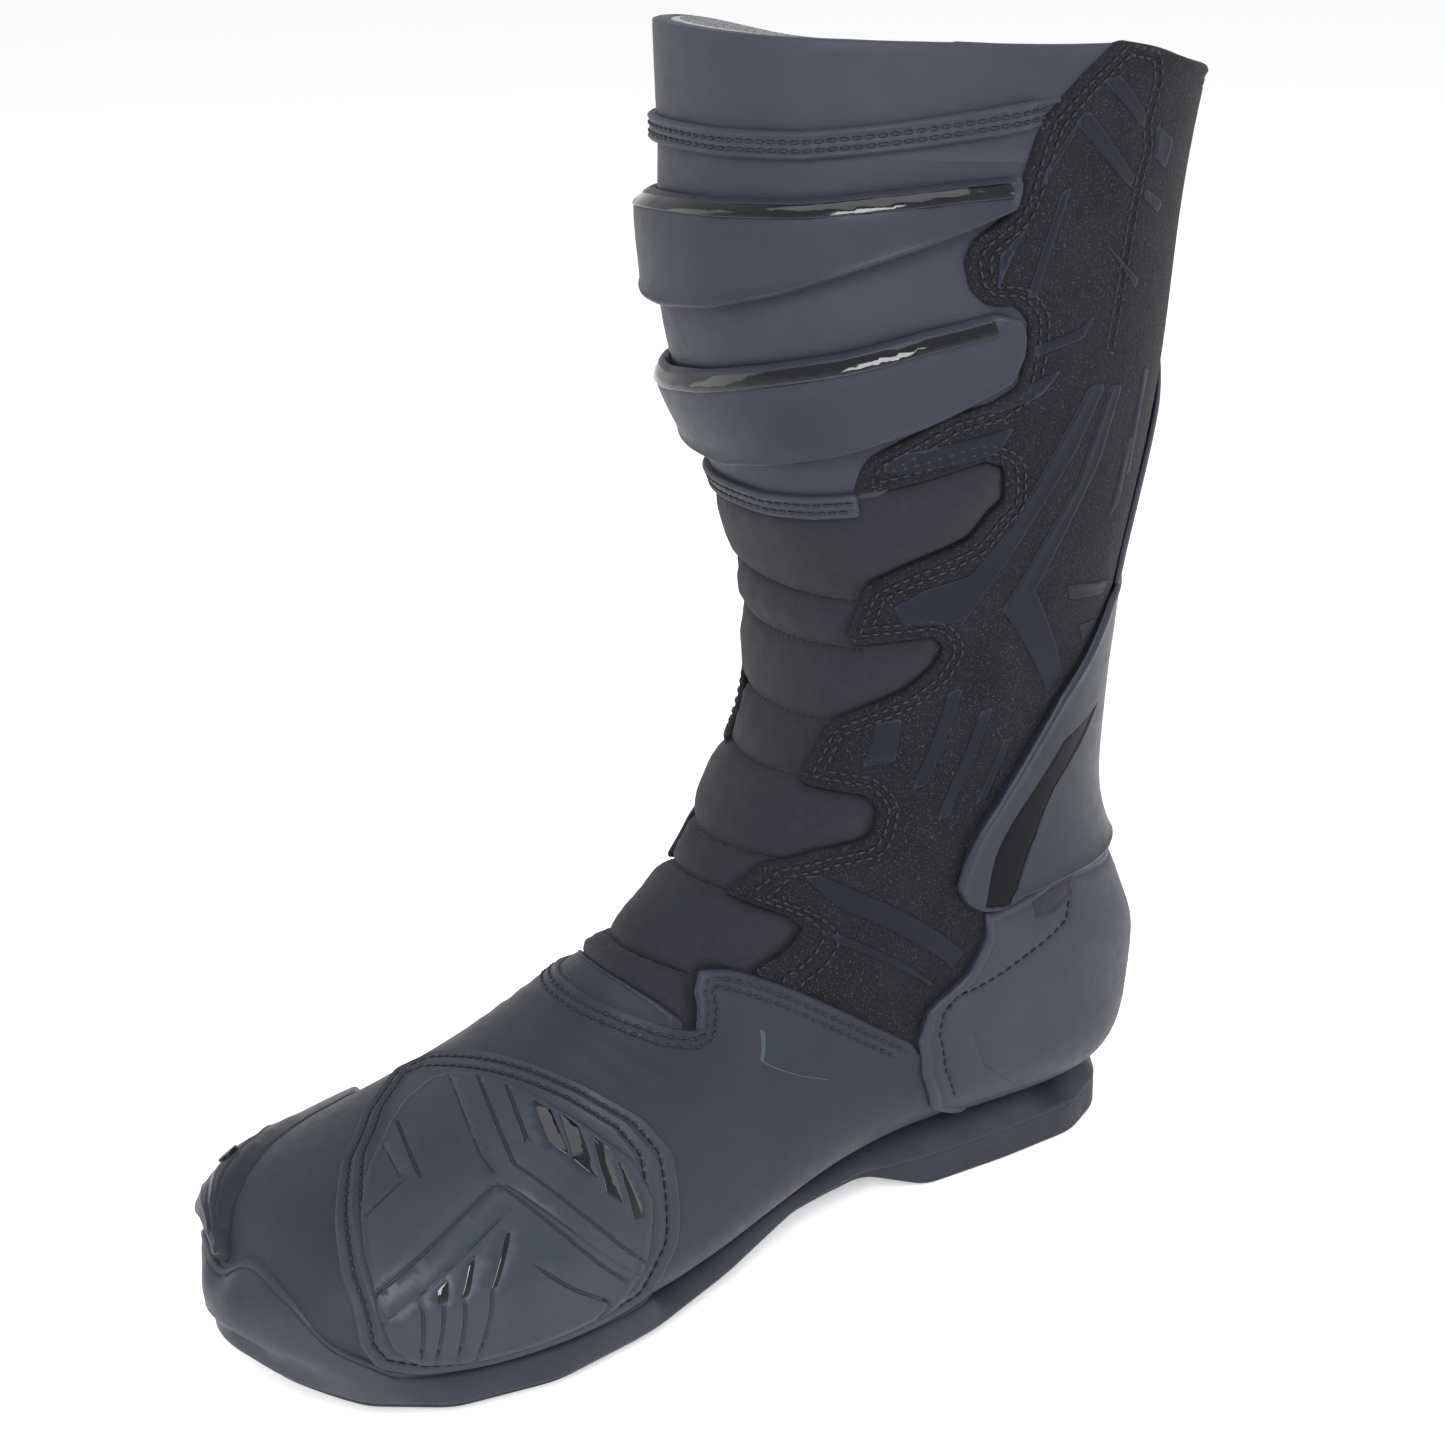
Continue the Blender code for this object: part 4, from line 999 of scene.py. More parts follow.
def lateral_angle(station, forward):
    """The angle on the lateral side where the last has that distance forward."""
    angles = np.linspace(-150, -30, 481)
    points = last_point(np.full(angles.shape, float(station)), angles)
    return float(np.interp(forward, points[:, 1], angles))


def lateral_point(forward, up, offset):
    """A point over the lateral side at a distance forward and a height, in the boot's frame."""
    stations = np.linspace(0, 6, 601)
    angles = [lateral_angle(s, forward) for s in stations]
    heights = last_point(stations, np.array(angles))[:, 2]
    station = float(np.interp(up, heights[::-1], stations[::-1]))
    return Vector(on_last(station, lateral_angle(station, forward), offset))


# ------------------------------------------------------------------ the sole and toe cup
def sole_height(forward, column):
    """A height of the sole at a distance forward, with the table's corners eased."""
    rows = np.array(SOLE)
    shifts = np.linspace(-4, 4, 9)
    return np.mean(
        [np.interp(np.asarray(forward) + k, rows[:, 0], rows[:, column]) for k in shifts], axis=0
    )


def sole_ring(step, shrink=0.0):
    """The sole's plan, anticlockwise from above: (medial, forward)."""
    medial = [(r[1], r[0]) for r in SOLE]
    lateral = [(r[2], r[0]) for r in SOLE]
    ring = resampled(softened(np.array(medial + lateral[::-1], float), 12.0, True), step, True)
    return inset(ring, shrink) if shrink else ring


def last_tree():
    """The last below the ankle, for casting rays at."""
    stations = np.linspace(6.6, TIP, 260)
    angles = np.linspace(-180, 180, 181)
    s, a = np.meshgrid(stations, angles, indexing="ij")
    points = on_last(s.ravel(), a.ravel(), 0.0)
    faces = grid_faces(len(stations), len(angles), columns_wrap=False)
    return BVHTree.FromPolygons(points.tolist(), faces)


def rand_tops(ring):
    """The height of the rand's top edge at each point of the sole's plan, with the toe cup's rise."""
    top = sole_height(ring[:, 1], 4)
    cup = np.array(resampled(np.array(TOE_CUP, float), 0.25, False))
    spots = on_last(cup[:, 0], cup[:, 1], 2.0) / MM
    middle = (10.0, 250.0)
    turn = np.degrees(
        np.arctan2(spots[:, 0] + SIDE_ORIGIN - middle[0], FOOT_ORIGIN - spots[:, 1] - middle[1])
    )
    order = np.argsort(turn)
    here = np.degrees(np.arctan2(ring[:, 0] - middle[0], ring[:, 1] - middle[1]))
    rise = np.interp(here, turn[order], spots[order, 2], left=0, right=0)
    return eased(np.maximum(top, rise), 2)


def tread_height(forward):
    """How tall the darker tread block is: a thick heel, and a thin sole set back under the rand."""
    return np.interp(forward, (0, 84, 102, 300), (9.4, 9.4, 3.4, 3.0))


CAST_START = 60.0
LEAST_TILT = 0.45
WELL_INSIDE = -30.0


def last_reach(ring, outward):
    """A function of a ring point and a height: how far outside the plan the last is there, and its tilt."""
    tree = last_tree()
    heights = np.linspace(2.0, 52.0, 44)
    reach = np.full((len(ring), len(heights)), np.nan)
    tilt = np.ones(reach.shape)
    for i, (spot, way) in enumerate(zip(ring, outward)):
        away = Vector((way[0], -way[1], 0))
        base = Vector(to_frame((spot[0], spot[1], 0)))
        for k, z in enumerate(heights):
            start = base + away * CAST_START * MM + Vector((0, 0, z * MM))
            hit, normal, _, far = tree.ray_cast(start, -away, 0.10)
            if hit is not None:
                reach[i, k] = CAST_START - far / MM
                tilt[i, k] = max(LEAST_TILT, abs(normal.dot(away)))

    def surface(i, z):
        known = ~np.isnan(reach[i])
        levels = heights[known]
        if not known.any() or z < levels[0]:
            return WELL_INSIDE, 1.0
        return np.interp(z, levels, reach[i][known]), np.interp(z, levels, tilt[i][known])

    return surface


# Rows of the rand's section, from its bottom edge up and back down inside: (kind, height, extra outward)
RAND_ROWS = [("low", 0.0, -2.4), ("low", 0.05, -0.9), ("low", 0.45, -0.25), ("low", 1.1, 0.0)]
RAND_ROWS += [("mix", k / 10, 0.0) for k in range(1, 10)]
RAND_ROWS += [("top", -2.5, -0.1), ("top", -2.1, -0.55), ("top", -1.7, -0.1), ("top", -1.2, 0.35)]
RAND_ROWS += [("top", -0.6, 0.3), ("top", -0.15, -0.25), ("top", 0.0, -1.1)]
RAND_ROWS += [("top", -0.3, -2.9), ("top", -2.5, -3.4), ("mix", 0.5, -3.6), ("low", 0.0, -5.5)]


def make_rand():
    """The sole's side wall, which rises over the toe as a cup and ends in a rolled lip."""
    ring = sole_ring(1.6)
    count = len(ring)
    tangent = np.roll(ring, -1, axis=0) - np.roll(ring, 1, axis=0)
    outward = unit(-turned_left(eased(unit(tangent), 3)))
    low = sole_height(ring[:, 1], 3)
    top = rand_tops(ring)
    surface = last_reach(ring, outward)
    tread = tread_height(ring[:, 1])
    thickness = np.interp(ring[:, 1], (0, 108, 128, 200, 299), (4.7, 4.7, 3.5, 3.2, 2.7))
    rows = []
    for kind, value, extra in RAND_ROWS:
        offsets, levels_here = [], []
        for i in range(count):
            foot_of_rand = low[i] + tread[i]
            if kind == "low":
                z = foot_of_rand + value
            elif kind == "mix":
                start = foot_of_rand + 1.1
                z = start + (top[i] - 2.5 - start) * value
            else:
                z = max(top[i] + value, foot_of_rand + 1.2 + value * 0.1)
            out, lean = surface(i, top[i] - 0.6)
            upper_edge = out + min(thickness[i] / lean, 5.4)
            share = np.clip((z - foot_of_rand - 0.8) / max(top[i] - foot_of_rand - 1.4, 1.0), 0, 1)
            straight = share * upper_edge + 0.9 * math.sin(math.pi * share)
            here, lean = surface(i, z)
            offsets.append(max(straight, here + min(thickness[i] / lean, 5.4)) if share > 0 else 0.0)
            levels_here.append(z)
        offsets = eased(np.array(offsets), 14)
        row = np.column_stack([ring + outward * (offsets + extra)[:, None], levels_here])
        rows.append(to_frame(eased(row, 2)))
    faces = grid_faces(len(rows), count, rows_wrap=True)
    rand = build("sole_rand", [(np.concatenate(rows), faces)], SOLE_FINISH, 40)
    place(rand, "foot", "rubber", "midsole", "toe_bumper", "toe_tip")


def make_tread():
    """The tread under the sole: heel block and forefoot, with chevron grooves and a line round the edge."""
    plan = sole_ring(2.2)
    setback = np.interp(plan[:, 1], (0, 84, 100, 120, 285, 300), (0.3, 0.3, 2.5, 3.6, 3.6, 5.0))
    plan = resampled(inset(plan, setback[:, None]), 2.0, True)
    grooves = []
    for f in list(range(16, 80, 9)) + list(range(150, 288, 9)):
        wide = np.interp(f, [r[0] for r in SOLE], [r[1] for r in SOLE]) - 7
        thin = np.interp(f, [r[0] for r in SOLE], [r[2] for r in SOLE]) + 7
        middle = (wide + thin) / 2
        grooves.append(np.array([(wide, f - 3), (middle, f + 4), (thin, f - 3)], float))
    extra = []
    for groove in grooves:
        line = resampled(groove, 1.6, False)
        extra += [line + np.array((0, k)) for k in (-1.6, -0.9, 0, 0.9, 1.6)]
    rings = [inset(plan, k) for k in (0.2, 0.6, 1.2, 3.5, 4.5)]
    spots, triangles = filled(plan, 3.2, rings, np.concatenate(extra))
    gap = distance_to(spots, plan)
    cut = np.zeros(len(spots))
    for groove in grooves:
        away = distance_to(spots, resampled(groove, 4, False), False)
        cut = np.maximum(cut, 1 - smooth_step((away - 0.7) / 0.7))
    under = sole_height(spots[:, 1], 3)
    rounding = np.where(gap < 1.2, 1.2 - np.sqrt(np.maximum(1.44 - (1.2 - gap) ** 2, 0)), 0)
    edge_line = 0.4 * np.exp(-(((gap - 4.0) / 0.5) ** 2))
    bottom = np.stack([spots[:, 0], spots[:, 1], under + rounding + 1.3 * cut + edge_line], -1)
    above = np.stack([spots[:, 0], spots[:, 1], under + tread_height(spots[:, 1]) + 0.3], -1)
    points = np.concatenate([to_frame(above), to_frame(bottom)])
    made = build("outsole_tread", [(points, slab_faces(triangles, len(spots)))], TREAD_FINISH, 40)
    place(made, "foot", "rubber", "outsole")


def feather_angle(station, side, offset, sunk=3.0):
    """The angle, on side 1 (medial) or -1 (lateral), where a layer has gone a little below the rand's top."""
    angles = np.linspace(60, 178, 237)
    points = on_last(station, side * angles, offset)
    above = points[:, 2] / MM > sole_height(FOOT_ORIGIN - points[:, 1] / MM, 4) - sunk
    return side * (angles[above][-1] if above.any() else angles[0])


def feather_line(first, last, side, offset, count):
    return [(s, float(feather_angle(s, side, offset))) for s in np.linspace(first, last, count)]


# ------------------------------------------------------------------ the foot
def crease(station, angle):
    """Fine flex folds across the vamp behind the toes, fading to the sides."""
    zone = np.exp(-(((station - 11.35) / 0.45) ** 2)) * np.exp(-((angle / 75.0) ** 2))
    return 0.22 * zone * np.sin(station * 21.0 + np.sin(angle / 17.0) * 1.3)


def make_vamp():
    medial = VAMP_TOP + [(9.50, 72), (9.62, 84), (9.82, 104)] + feather_line(10.15, 16.3, 1, 1.5, 26)
    lateral = mirrored(VAMP_TOP[1:] + [(9.50, 72), (9.62, 84), (9.82, 104)])
    lateral_feather = feather_line(10.15, 16.3, -1, 1.5, 26)
    front = [(16.3, a) for a in np.linspace(90, -90, 9)]
    outline = medial + front + lateral_feather[::-1] + lateral
    high = lambda s, a: 2.0 + crease(s, a)
    edge = line_of([(s, -a) for s, a in reversed(VAMP_TOP[1:])] + VAMP_TOP, FOOT, 3.0, 0.8)
    body = ring_of(outline, FOOT, 3.0, 2.0)
    sign = 1 if inside(beside_true(edge, 4.0, FOOT), body).mean() > 0.5 else -1
    sewn = [beside_true(edge, sign * distance, FOOT) for distance in (2.9, 5.4)]
    grooves = [(list(zip(*FOOT.back(line))), 0.5, -0.2) for line in sewn]
    vamp = shape(outline, FOOT, 0.5, high, 2.8, 0.8, 3.0, hems=[(1.2, 0.8, 0.35)], lines=grooves)
    place(build("vamp_upper", [vamp], VAMP_FINISH), "foot", "microfibre", "vamp")
    rows = [stitch_shape(line, high, FOOT, length=2.3, pause=0.9) for line in sewn]
    place(build("vamp_stitching", rows, THREAD), "foot", "microfibre")
    bracket = line_of(
        [(9.92, 30), (10.14, 36), (10.36, 43), (10.38, 48), (10.36, 56), (10.28, 66)], FOOT, 1.6, 0.6
    )
    print_line = np.concatenate([beside(bracket, 0.35), beside(bracket, -0.35)[::-1]])
    s, a = FOOT.back(print_line)
    mark = shape(list(zip(s, a)), FOOT, 1.5, lambda s, a: high(s, a) + 0.12, 1.2, 0.1, 0, under=0.0)
    place(build("vamp_print_line", [mark], PRINT), "foot", "microfibre")


def make_pad():
    welts = [(1.0, 0.8, 0.4), (3.0, 0.55, -0.6), (5.0, 0.8, 0.5), (7.0, 0.55, -0.6), (8.6, 0.6, 0.4)]
    border = shape(PAD_OUTER, FOOT, 1.7, 3.1, 2.6, 0.9, 5.0, hems=welts)
    place(build("shift_pad_frame", [border], COUNTER_FINISH), "foot", "hard_shell", "shift_pad_border")
    ring = ring_of(PAD_OUTER, FOOT, 5.0, 1.5)
    rows = [stitch_shape(ring, 2.85, FOOT, inset_by=d, closed=True) for d in (3.0, 7.0)]
    place(build("shift_pad_stitching", rows, THREAD), "foot", "rubber")

    dark = -0.8
    faint = -0.4
    lines = [
        ([(12.43, -12), (12.78, 42), (12.80, 50)], 0.35, faint),
        ([(12.25, 2), (12.62, 50), (12.28, 97)], 0.45, dark),
        ([(14.25, 74), (12.85, 54), (12.48, 95)], 0.45, dark),
        ([(12.78, 56), (12.36, 99)], 0.3, faint),
        ([(12.15, 18), (12.38, 42)], 0.45, dark),
        ([(13.12, -6), (13.33, 38)], 0.45, dark),
        ([(13.38, 3), (13.48, 33)], 0.35, faint),
        ([(13.53, 38), (13.98, 46)], 0.45, dark),
        ([(12.93, 81), (12.62, 100), (12.72, 102)], 0.45, dark),
        ([(14.28, 82), (12.90, 63)], 0.3, faint),
        ([(13.93, 82), (14.02, 96)], 0.5, dark),
        ([(13.75, 82), (13.90, 98)], 0.5, dark),
        ([(13.58, 83), (13.73, 99)], 0.5, dark),
        ([(13.35, 82), (13.58, 100)], 0.5, dark),
    ]
    bars = [
        [(12.08, 28), (12.04, 36), (12.23, 54), (12.28, 47)],
        [(12.00, 37), (11.98, 45), (12.20, 64), (12.23, 55)],
        [(11.96, 49), (11.95, 54), (12.18, 74), (12.22, 68)],
        [(11.97, 59), (11.98, 64), (12.15, 84), (12.20, 79)],
        [(13.75, 77), (13.62, 75), (13.70, 81), (13.80, 81)],
        [(13.42, 73), (13.32, 71), (13.53, 81), (13.60, 81)],
        [(13.02, 68), (12.99, 69), (13.30, 81), (13.36, 81)],
    ]
    sunk = [(bar, 0.5, -0.55) for bar in bars]
    pad = shape(
        PAD_INNER, FOOT, 2.4, 3.7, 2.4, 0.7, 4.0, hems=[(1.6, 0.7, 0.15)], lines=lines, bars=sunk
    )
    place(build("shift_pad_face", [pad], PAD_FINISH), "foot", "rubber", "shift_pad")
    inserts = [shape(bar, FOOT, 2.9, 3.62, 1.6, 0.25, 0) for bar in bars]
    place(build("shift_pad_gloss_bars", inserts, GLOSS), "foot", "gloss")


def make_tab():
    half = [
        (10.72, 0), (10.70, 8), (10.62, 16), (10.52, 22), (10.38, 24), (10.24, 21.5), (10.12, 15),
        (10.04, 8), (10.01, 0)
    ]
    outline = half + [(s, -a) for s, a in half[-2:0:-1]]
    tab = shape(outline, FOOT, -2.4, 0.9, 1.6, 0.8, 2.5, hems=[(2.2, 0.5, -0.2)])
    place(build("instep_tab_film", [tab], VAMP_FINISH), "foot", "hard_shell", "instep_tab")


def make_heel():
    seams = [COUNTER_SEAM, [(s, 360 - a) for s, a in COUNTER_SEAM]]
    medial = COUNTER_EDGE + feather_line(10.12, 9.3, 1, 2.5, 12)
    lateral = [(s, 360 - a) for s, a in COUNTER_EDGE] + [
        (s, 360 + a)
        for s, a in feather_line(10.12, 9.3, -1, 2.5, 12)
    ]
    back = [(9.28, 172), (9.26, 180), (9.28, 188)]
    outline = medial + back + lateral[::-1][:-1]
    lines = [
        (seams[0], 0.9, -0.35),
        (seams[1], 0.9, -0.35),
        ([(8.97, 82), (9.42, 108), (9.58, 136)], 0.5, -0.3),
        ([(8.97, 278), (9.42, 252), (9.58, 224)], 0.5, -0.3),
    ]
    high = lambda s, a: 3.6 - 2.05 * smooth_step((7.45 - s) / 0.6)
    body = shape(
        outline, HEEL, 1.2, high, 2.8, 1.1, 4.0, hems=[(1.7, 1.2, 0.5), (3.6, 0.7, -0.3)], lines=lines
    )
    place(build("heel_counter_cup", [body], COUNTER_FINISH), "foot", "microfibre", "heel_counter")
    rows = []
    for path in seams:
        rows.append(stitch_shape(line_of(path, HEEL, 4.0, 1.0), lambda s, a: high(s, a) - 0.2, HEEL))
    place(build("heel_counter_stitching", rows, THREAD), "foot", "microfibre")
    tab = [(7.22, 180), (7.24, 171), (7.45, 166), (7.9, 165), (8.25, 170), (8.35, 180)]
    lug = shape(whole(tab), HEEL, 2.6, 5.0, 2.0, 1.0, 3.0, hems=[(3.0, 0.6, -0.3)])
    place(build("heel_pull_tab", [lug], PAD_FINISH), "foot", "rubber", "heel_tab")
    elastic = []
    for side in (1, -1):
        area = [
            (6.84, side * 106), (6.68, side * 118), (6.62, side * 128), (6.92, side * 124),
            (7.10, side * 114), (7.16, side * 104)
        ]
        elastic.append(
            shape(
                area, HEEL, 1.4, lambda s, a: high(s, a) + 0.25, 2.0, 0.4, 1.0, hems=[(1.6, 0.5, -0.2)]
            )
        )
    place(build("heel_flex_windows", elastic, TREAD_FINISH), "foot", "microfibre")


def make_toe_slider():
    outline = [
        (13.05, -64), (13.55, -66), (14.10, -63), (14.60, -56), (15.05, -48), (15.40, -34),
        (15.66, -10), (15.80, -12),
        (15.76, -34), (15.58, -58), (15.30, -76), (14.90, -88), (14.35, -95), (13.70, -98),
        (13.15, -92), (12.92, -78),
    ]
    ridges = []
    for k in range(4):
        share = (k + 1) / 5
        near = [(13.15, -70), (13.75, -70), (14.30, -64), (14.85, -57), (15.22, -48), (15.48, -34)]
        far = [(13.20, -90), (13.70, -95), (14.30, -92), (14.82, -85), (15.20, -74), (15.50, -56)]
        line = [(a[0] + (b[0] - a[0]) * share, a[1] + (b[1] - a[1]) * share) for a, b in zip(near, far)]
        ridges.append((line, 0.75, 0.4 if k % 2 else -0.5))
    edge_stations, edge_angles = zip(*outline[:7])

    def high(station, angle):
        """Thin where the block meets the vamp, thick towards the sole."""
        return 2.5 + 3.5 * smooth_step((np.interp(station, edge_stations, edge_angles) - angle) / 12.0)

    slider = shape(outline, FOOT, 0.8, high, 2.0, 1.0, 3.5, lines=ridges)
    place(build("toe_slider_block", [slider], SHELL_FINISH), "foot", "gloss", "toe_slider")


def banded(first, last, rows, wave, inner, outer):
    """A sleeve profile between two edges (functions of the angle), with shallow quilting."""
    profile = []
    for k in range(rows + 1):
        share = k / rows
        profile.append(
            (lambda a, q=share: first(a) * (1 - q) + last(a) * q, outer + (wave if k % 3 == 1 else 0.0))
        )
    for k in range(rows, -1, -1):
        share = k / rows
        profile.append((lambda a, q=share: first(a) * (1 - q) + last(a) * q, inner))
    return profile


def make_foot_inside():
    top = lambda a: 6.95 + 0.3 * np.cos(np.radians(a))
    end = lambda a: 15.3 + 0 * a
    lining = sleeve_shape(banded(top, end, 42, 0.25, -7.0, -5.2), 96)
    place(build("foot_lining_sock", [lining], LINING), "foot", "lining", "foot_lining")

    def under(name, first, last, half, low, high, finish, slot, node, cell=3.0, hems=()):
        stops = np.linspace(first, last, 9)
        ease = [0.5, 0.8, 0.95, 1, 1, 1, 1, 0.9, 0.6]
        left = [(s, 180 - half * e) for s, e in zip(stops, ease)]
        right = [(s, 180 + half * e) for s, e in zip(stops, ease)]
        made = shape(left + right[::-1], UNDER, low, high, cell, 0.5, 6.0, hems=hems)
        return place(build(name, [made], finish), "foot", slot, node)

    under("insole_board_felt", 9.35, 15.5, 27, -3.6, -1.9, BOARD, "foam", "insole_board")
    under("shank_strip", 9.9, 12.3, 9, -1.1, -0.3, STEEL, "steel", "shank")
    cushion = under(
        "footbed_cushion", 9.3, 15.0, 27, -11.6, -8.5, FOOTBED, "foam", "footbed", 3.0,
        [(4.0, 1.0, 0.3)]
    )
    stiffener = [(8.3 + 1.25 * math.cos(math.radians(a)), a) for a in (96, 112, 130, 150, 180)]
    half = stiffener[::-1] + [(10.0, 104), (9.9, 128), (9.4, 146), (9.1, 160), (9.0, 180)]
    cup = shape(whole(half), HEEL, -3.2, -1.3, 4.0, 0.5, 5.0)
    place(build("heel_stiffener_cup", [cup], BOARD), "foot", "foam", "heel_stiffener")
    around = (-97, -48, 0, 48, 97)
    toe = shape(
        [(12.7, a) for a in around] + [(15.4, a) for a in around[::-1]], FOOT, -3.3, -0.9, 4.0, 0.5, 5.0
    )
    place(build("toe_box_shell", [toe], BOARD), "foot", "foam", "toe_box")
    tongue = [
        (9.5, -55), (9.5, 0), (9.5, 55), (11.0, 60), (12.4, 50), (12.4, 0), (12.4, -50), (11.0, -60)
    ]
    gusset = shape(tongue, FOOT, -3.3, -1.9, 4.0, 0.5, 5.0)
    place(build("instep_gusset_cloth", [gusset], STRETCH), "foot", "stretch", "instep_gusset")


# ------------------------------------------------------------------ the shaft
def rim_wave(angle):
    """The station of the collar's top edge: slightly uneven, and lower behind and laterally."""
    turn = np.radians(angle)
    side = (np.asarray(angle, float) + 180.0) % 360.0 - 180.0
    drop = 0.18 * smooth_step((side - 106.0) / 44.0) + 0.18 * smooth_step((-35.0 - side) / 60.0)
    return 0.030 + drop + 0.008 * np.sin(turn * 2 + 0.6) + 0.005 * np.sin(turn * 5)


def make_shaft_inside():
    lower = lambda a: 5.75 - 0.15 * np.cos(np.radians(a))
    profile = banded(lambda a: rim_wave(a) + 0.012, lower, 44, 0.3, -7.2, -5.0)
    place(
        build("shaft_lining_sock", [sleeve_shape(profile, 128)], LINING), "shaft", "lining",
        "shaft_lining"
    )
    collar = [
        (lambda a: rim_wave(a) + 0.30, -4.6), (lambda a: rim_wave(a) + 0.012, -4.6),
        (lambda a: rim_wave(a) + 0.003, -4.2),
        (rim_wave, -3.0), (rim_wave, -0.8), (lambda a: rim_wave(a) + 0.004, -0.2),
        (lambda a: rim_wave(a) + 0.012, 0.0),
    ]
    for share, offset in (
        (0.12, 0.1), (0.25, 0.15), (0.4, 0.2), (0.55, 0.2), (0.7, 0.2), (0.85, 0.1), (0.98, 0.0),
        (1.0, -1.4), (0.6, -1.5)
    ):
        collar.append((lambda a, q=share: rim_wave(a) * (1 - q) + 0.73 * q, offset))
    place(build("collar_panel", [sleeve_shape(collar, 160)], MICRO), "shaft", "microfibre", "collar")

    base = [(0.66, a) for a in (-112, -50, 0, 50, 92)]
    base += [
        (1.1, 90), (1.6, 94), (2.1, 92), (2.35, 84), (2.45, 72), (2.58, 58), (2.74, 47), (2.92, 38),
        (3.02, 22)
    ]
    base += [(3.06, 0), (3.06, -50), (3.0, -76)]
    high = lambda s, a: -0.1 + 0.10 * np.sin(s * 9.0 + np.sin(a / 20.0))
    panel = shape(base, SHAFT, -1.1, high, 3.4, 0.5, 3.0)
    place(build("shin_base_panel", [panel], MICRO), "shaft", "microfibre", "shin_base")
    rear = [
        (0.70, a)
        for a in (103, 140, 180, 220, 255)
    ] + [(3.0, a) for a in (255, 220, 180, 140, 103)]
    pad = shape(rear, CALF, -3.3, -0.9, 4.5, 0.8, 6.0)
    obj = place(build("calf_padding_foam", [pad], FOAM), "shaft", "foam", "calf_padding")


def make_bindings():
    top = [
        (0.68, -64), (0.68, -21), (0.68, 11), (0.65, 29), (0.58, 44), (0.50, 60), (0.42, 78), (0.39, 87)
    ]
    shift = lambda line, d: [(s + d, a) for s, a in line]
    tucked = lambda s, a: 2.0 - 1.7 * smooth_step((a - 76.0) / 6.0)
    grooves = [(shift(top, d), 0.5, -0.35) for d in (-0.002, 0.05)]
    upper = shape(
        shift(top, -0.07) + shift(top, 0.105)[::-1], SHAFT, -0.4, tucked, 1.8, 0.7, 3.0,
        hems=[(1.0, 0.8, 0.5)], lines=grooves
    )
    place(build("collar_binding_strip", [upper], MICRO), "shaft", "microfibre", "collar_binding")
    rows = [
        stitch_shape(
            line_of(shift(top, d), SHAFT, 4.0, 1.0), lambda s, a: tucked(s, a) - 0.1, SHAFT, length=2.4,
            pause=0.8
        )
        for d in (-0.002, 0.05)
    ]
    low = [(2.93, -70), (2.95, -40), (2.97, -15), (2.97, 12), (2.93, 26), (2.87, 38.5)]
    grooves = [(shift(low, d), 0.5, -0.35) for d in (-0.035, 0.02)]
    lower = shape(
        shift(low, -0.09) + shift(low, 0.07)[::-1], SHAFT, -0.9, 1.9, 1.8, 0.7, 3.0,
        hems=[(1.0, 0.8, 0.45)], lines=grooves
    )
    place(build("shin_binding_strip", [lower], MICRO), "shaft", "microfibre", "shin_binding")
    rows += [
        stitch_shape(line_of(shift(low, d), SHAFT, 4.0, 1.0), 1.8, SHAFT, length=2.4, pause=0.8)
        for d in (-0.035, 0.02)
    ]
    place(build("shin_stitching", rows, THREAD), "shaft", "microfibre")


def plate_height(edge_line, chart, crest, sides):
    """A plate's outer offset: a chamfer along its upper edge, a hollow face and thinner sides."""
    line = line_of(edge_line, chart, 4.0, 2.0)

    def height(station, angle):
        spots = chart.flat(np.stack([station, angle], -1))
        gap = distance_to(spots, line, False)
        chamfer = smooth_step(gap / 4.2)
        face = crest - 1.6 * smooth_step((gap - 4.2) / 22.0)
        flank = 1.6 * smooth_step((np.abs(angle) - sides) / 26.0)
        return 2.6 + (face - 2.6) * chamfer - flank

    return height


def make_shin_plates():
    plates = (("upper", 1, PLATE_1, TRIM_1, 6.3, 48), ("lower", 2, PLATE_2, TRIM_2, 5.8, 50))
    for which, number, outline, trim, crest, sides in plates:
        high = plate_height(trim, SHAFT, crest, sides)
        plate = shape(outline, SHAFT, 0.3, high, 2.6, 0.7, 2.5, hems=[(1.1, 0.8, 0.55)], under=1.6)
        made = build("shin_plate_%d" % number, [plate], PLATE_FINISH, 60)
        place(made, "shaft", "hard_shell", "shin_plate_" + which)
        line = line_of(trim, SHAFT, 4.0, 1.4)
        down = 1 if beside(line, 4.0)[:, 0].mean() > line[:, 0].mean() else -1
        band = np.concatenate([beside(line, down * 0.9), beside(line, down * 4.6)[::-1]])
        s, a = SHAFT.back(band)
        strip = shape(
            list(zip(s, a)), SHAFT, lambda s, a: high(s, a) - 0.5, lambda s, a: high(s, a) + 0.45, 1.6,
            0.35, 0
        )
        made = build("shin_plate_gloss_%d" % number, [strip], GLOSS, 60)
        place(made, "shaft", "gloss", which + "_plate_trim")


def bellows_opening():
    """The outline inside which the bellows show, between the side panels, the shin binding and the vamp."""
    low = [
        (9.02, 14), (9.25, 12), (9.68, 15), (10.15, 22), (10.30, 25), (10.44, 22), (10.30, 22),
        (10.14, 16), (10.06, 9), (10.03, 0)
    ]
    medial = [
        (3.00, 0), (2.99, 14), (2.96, 26), (2.90, 34)
    ] + SUEDE_EDGE[SUEDE_EDGE.index((2.80, 37)) :] + low
    lateral = [(3.03, 67)] + SUEDE_EDGE[SUEDE_EDGE.index((3.10, 67)) :] + low
    return medial + [(s, -a) for s, a in reversed(lateral[:-1])]


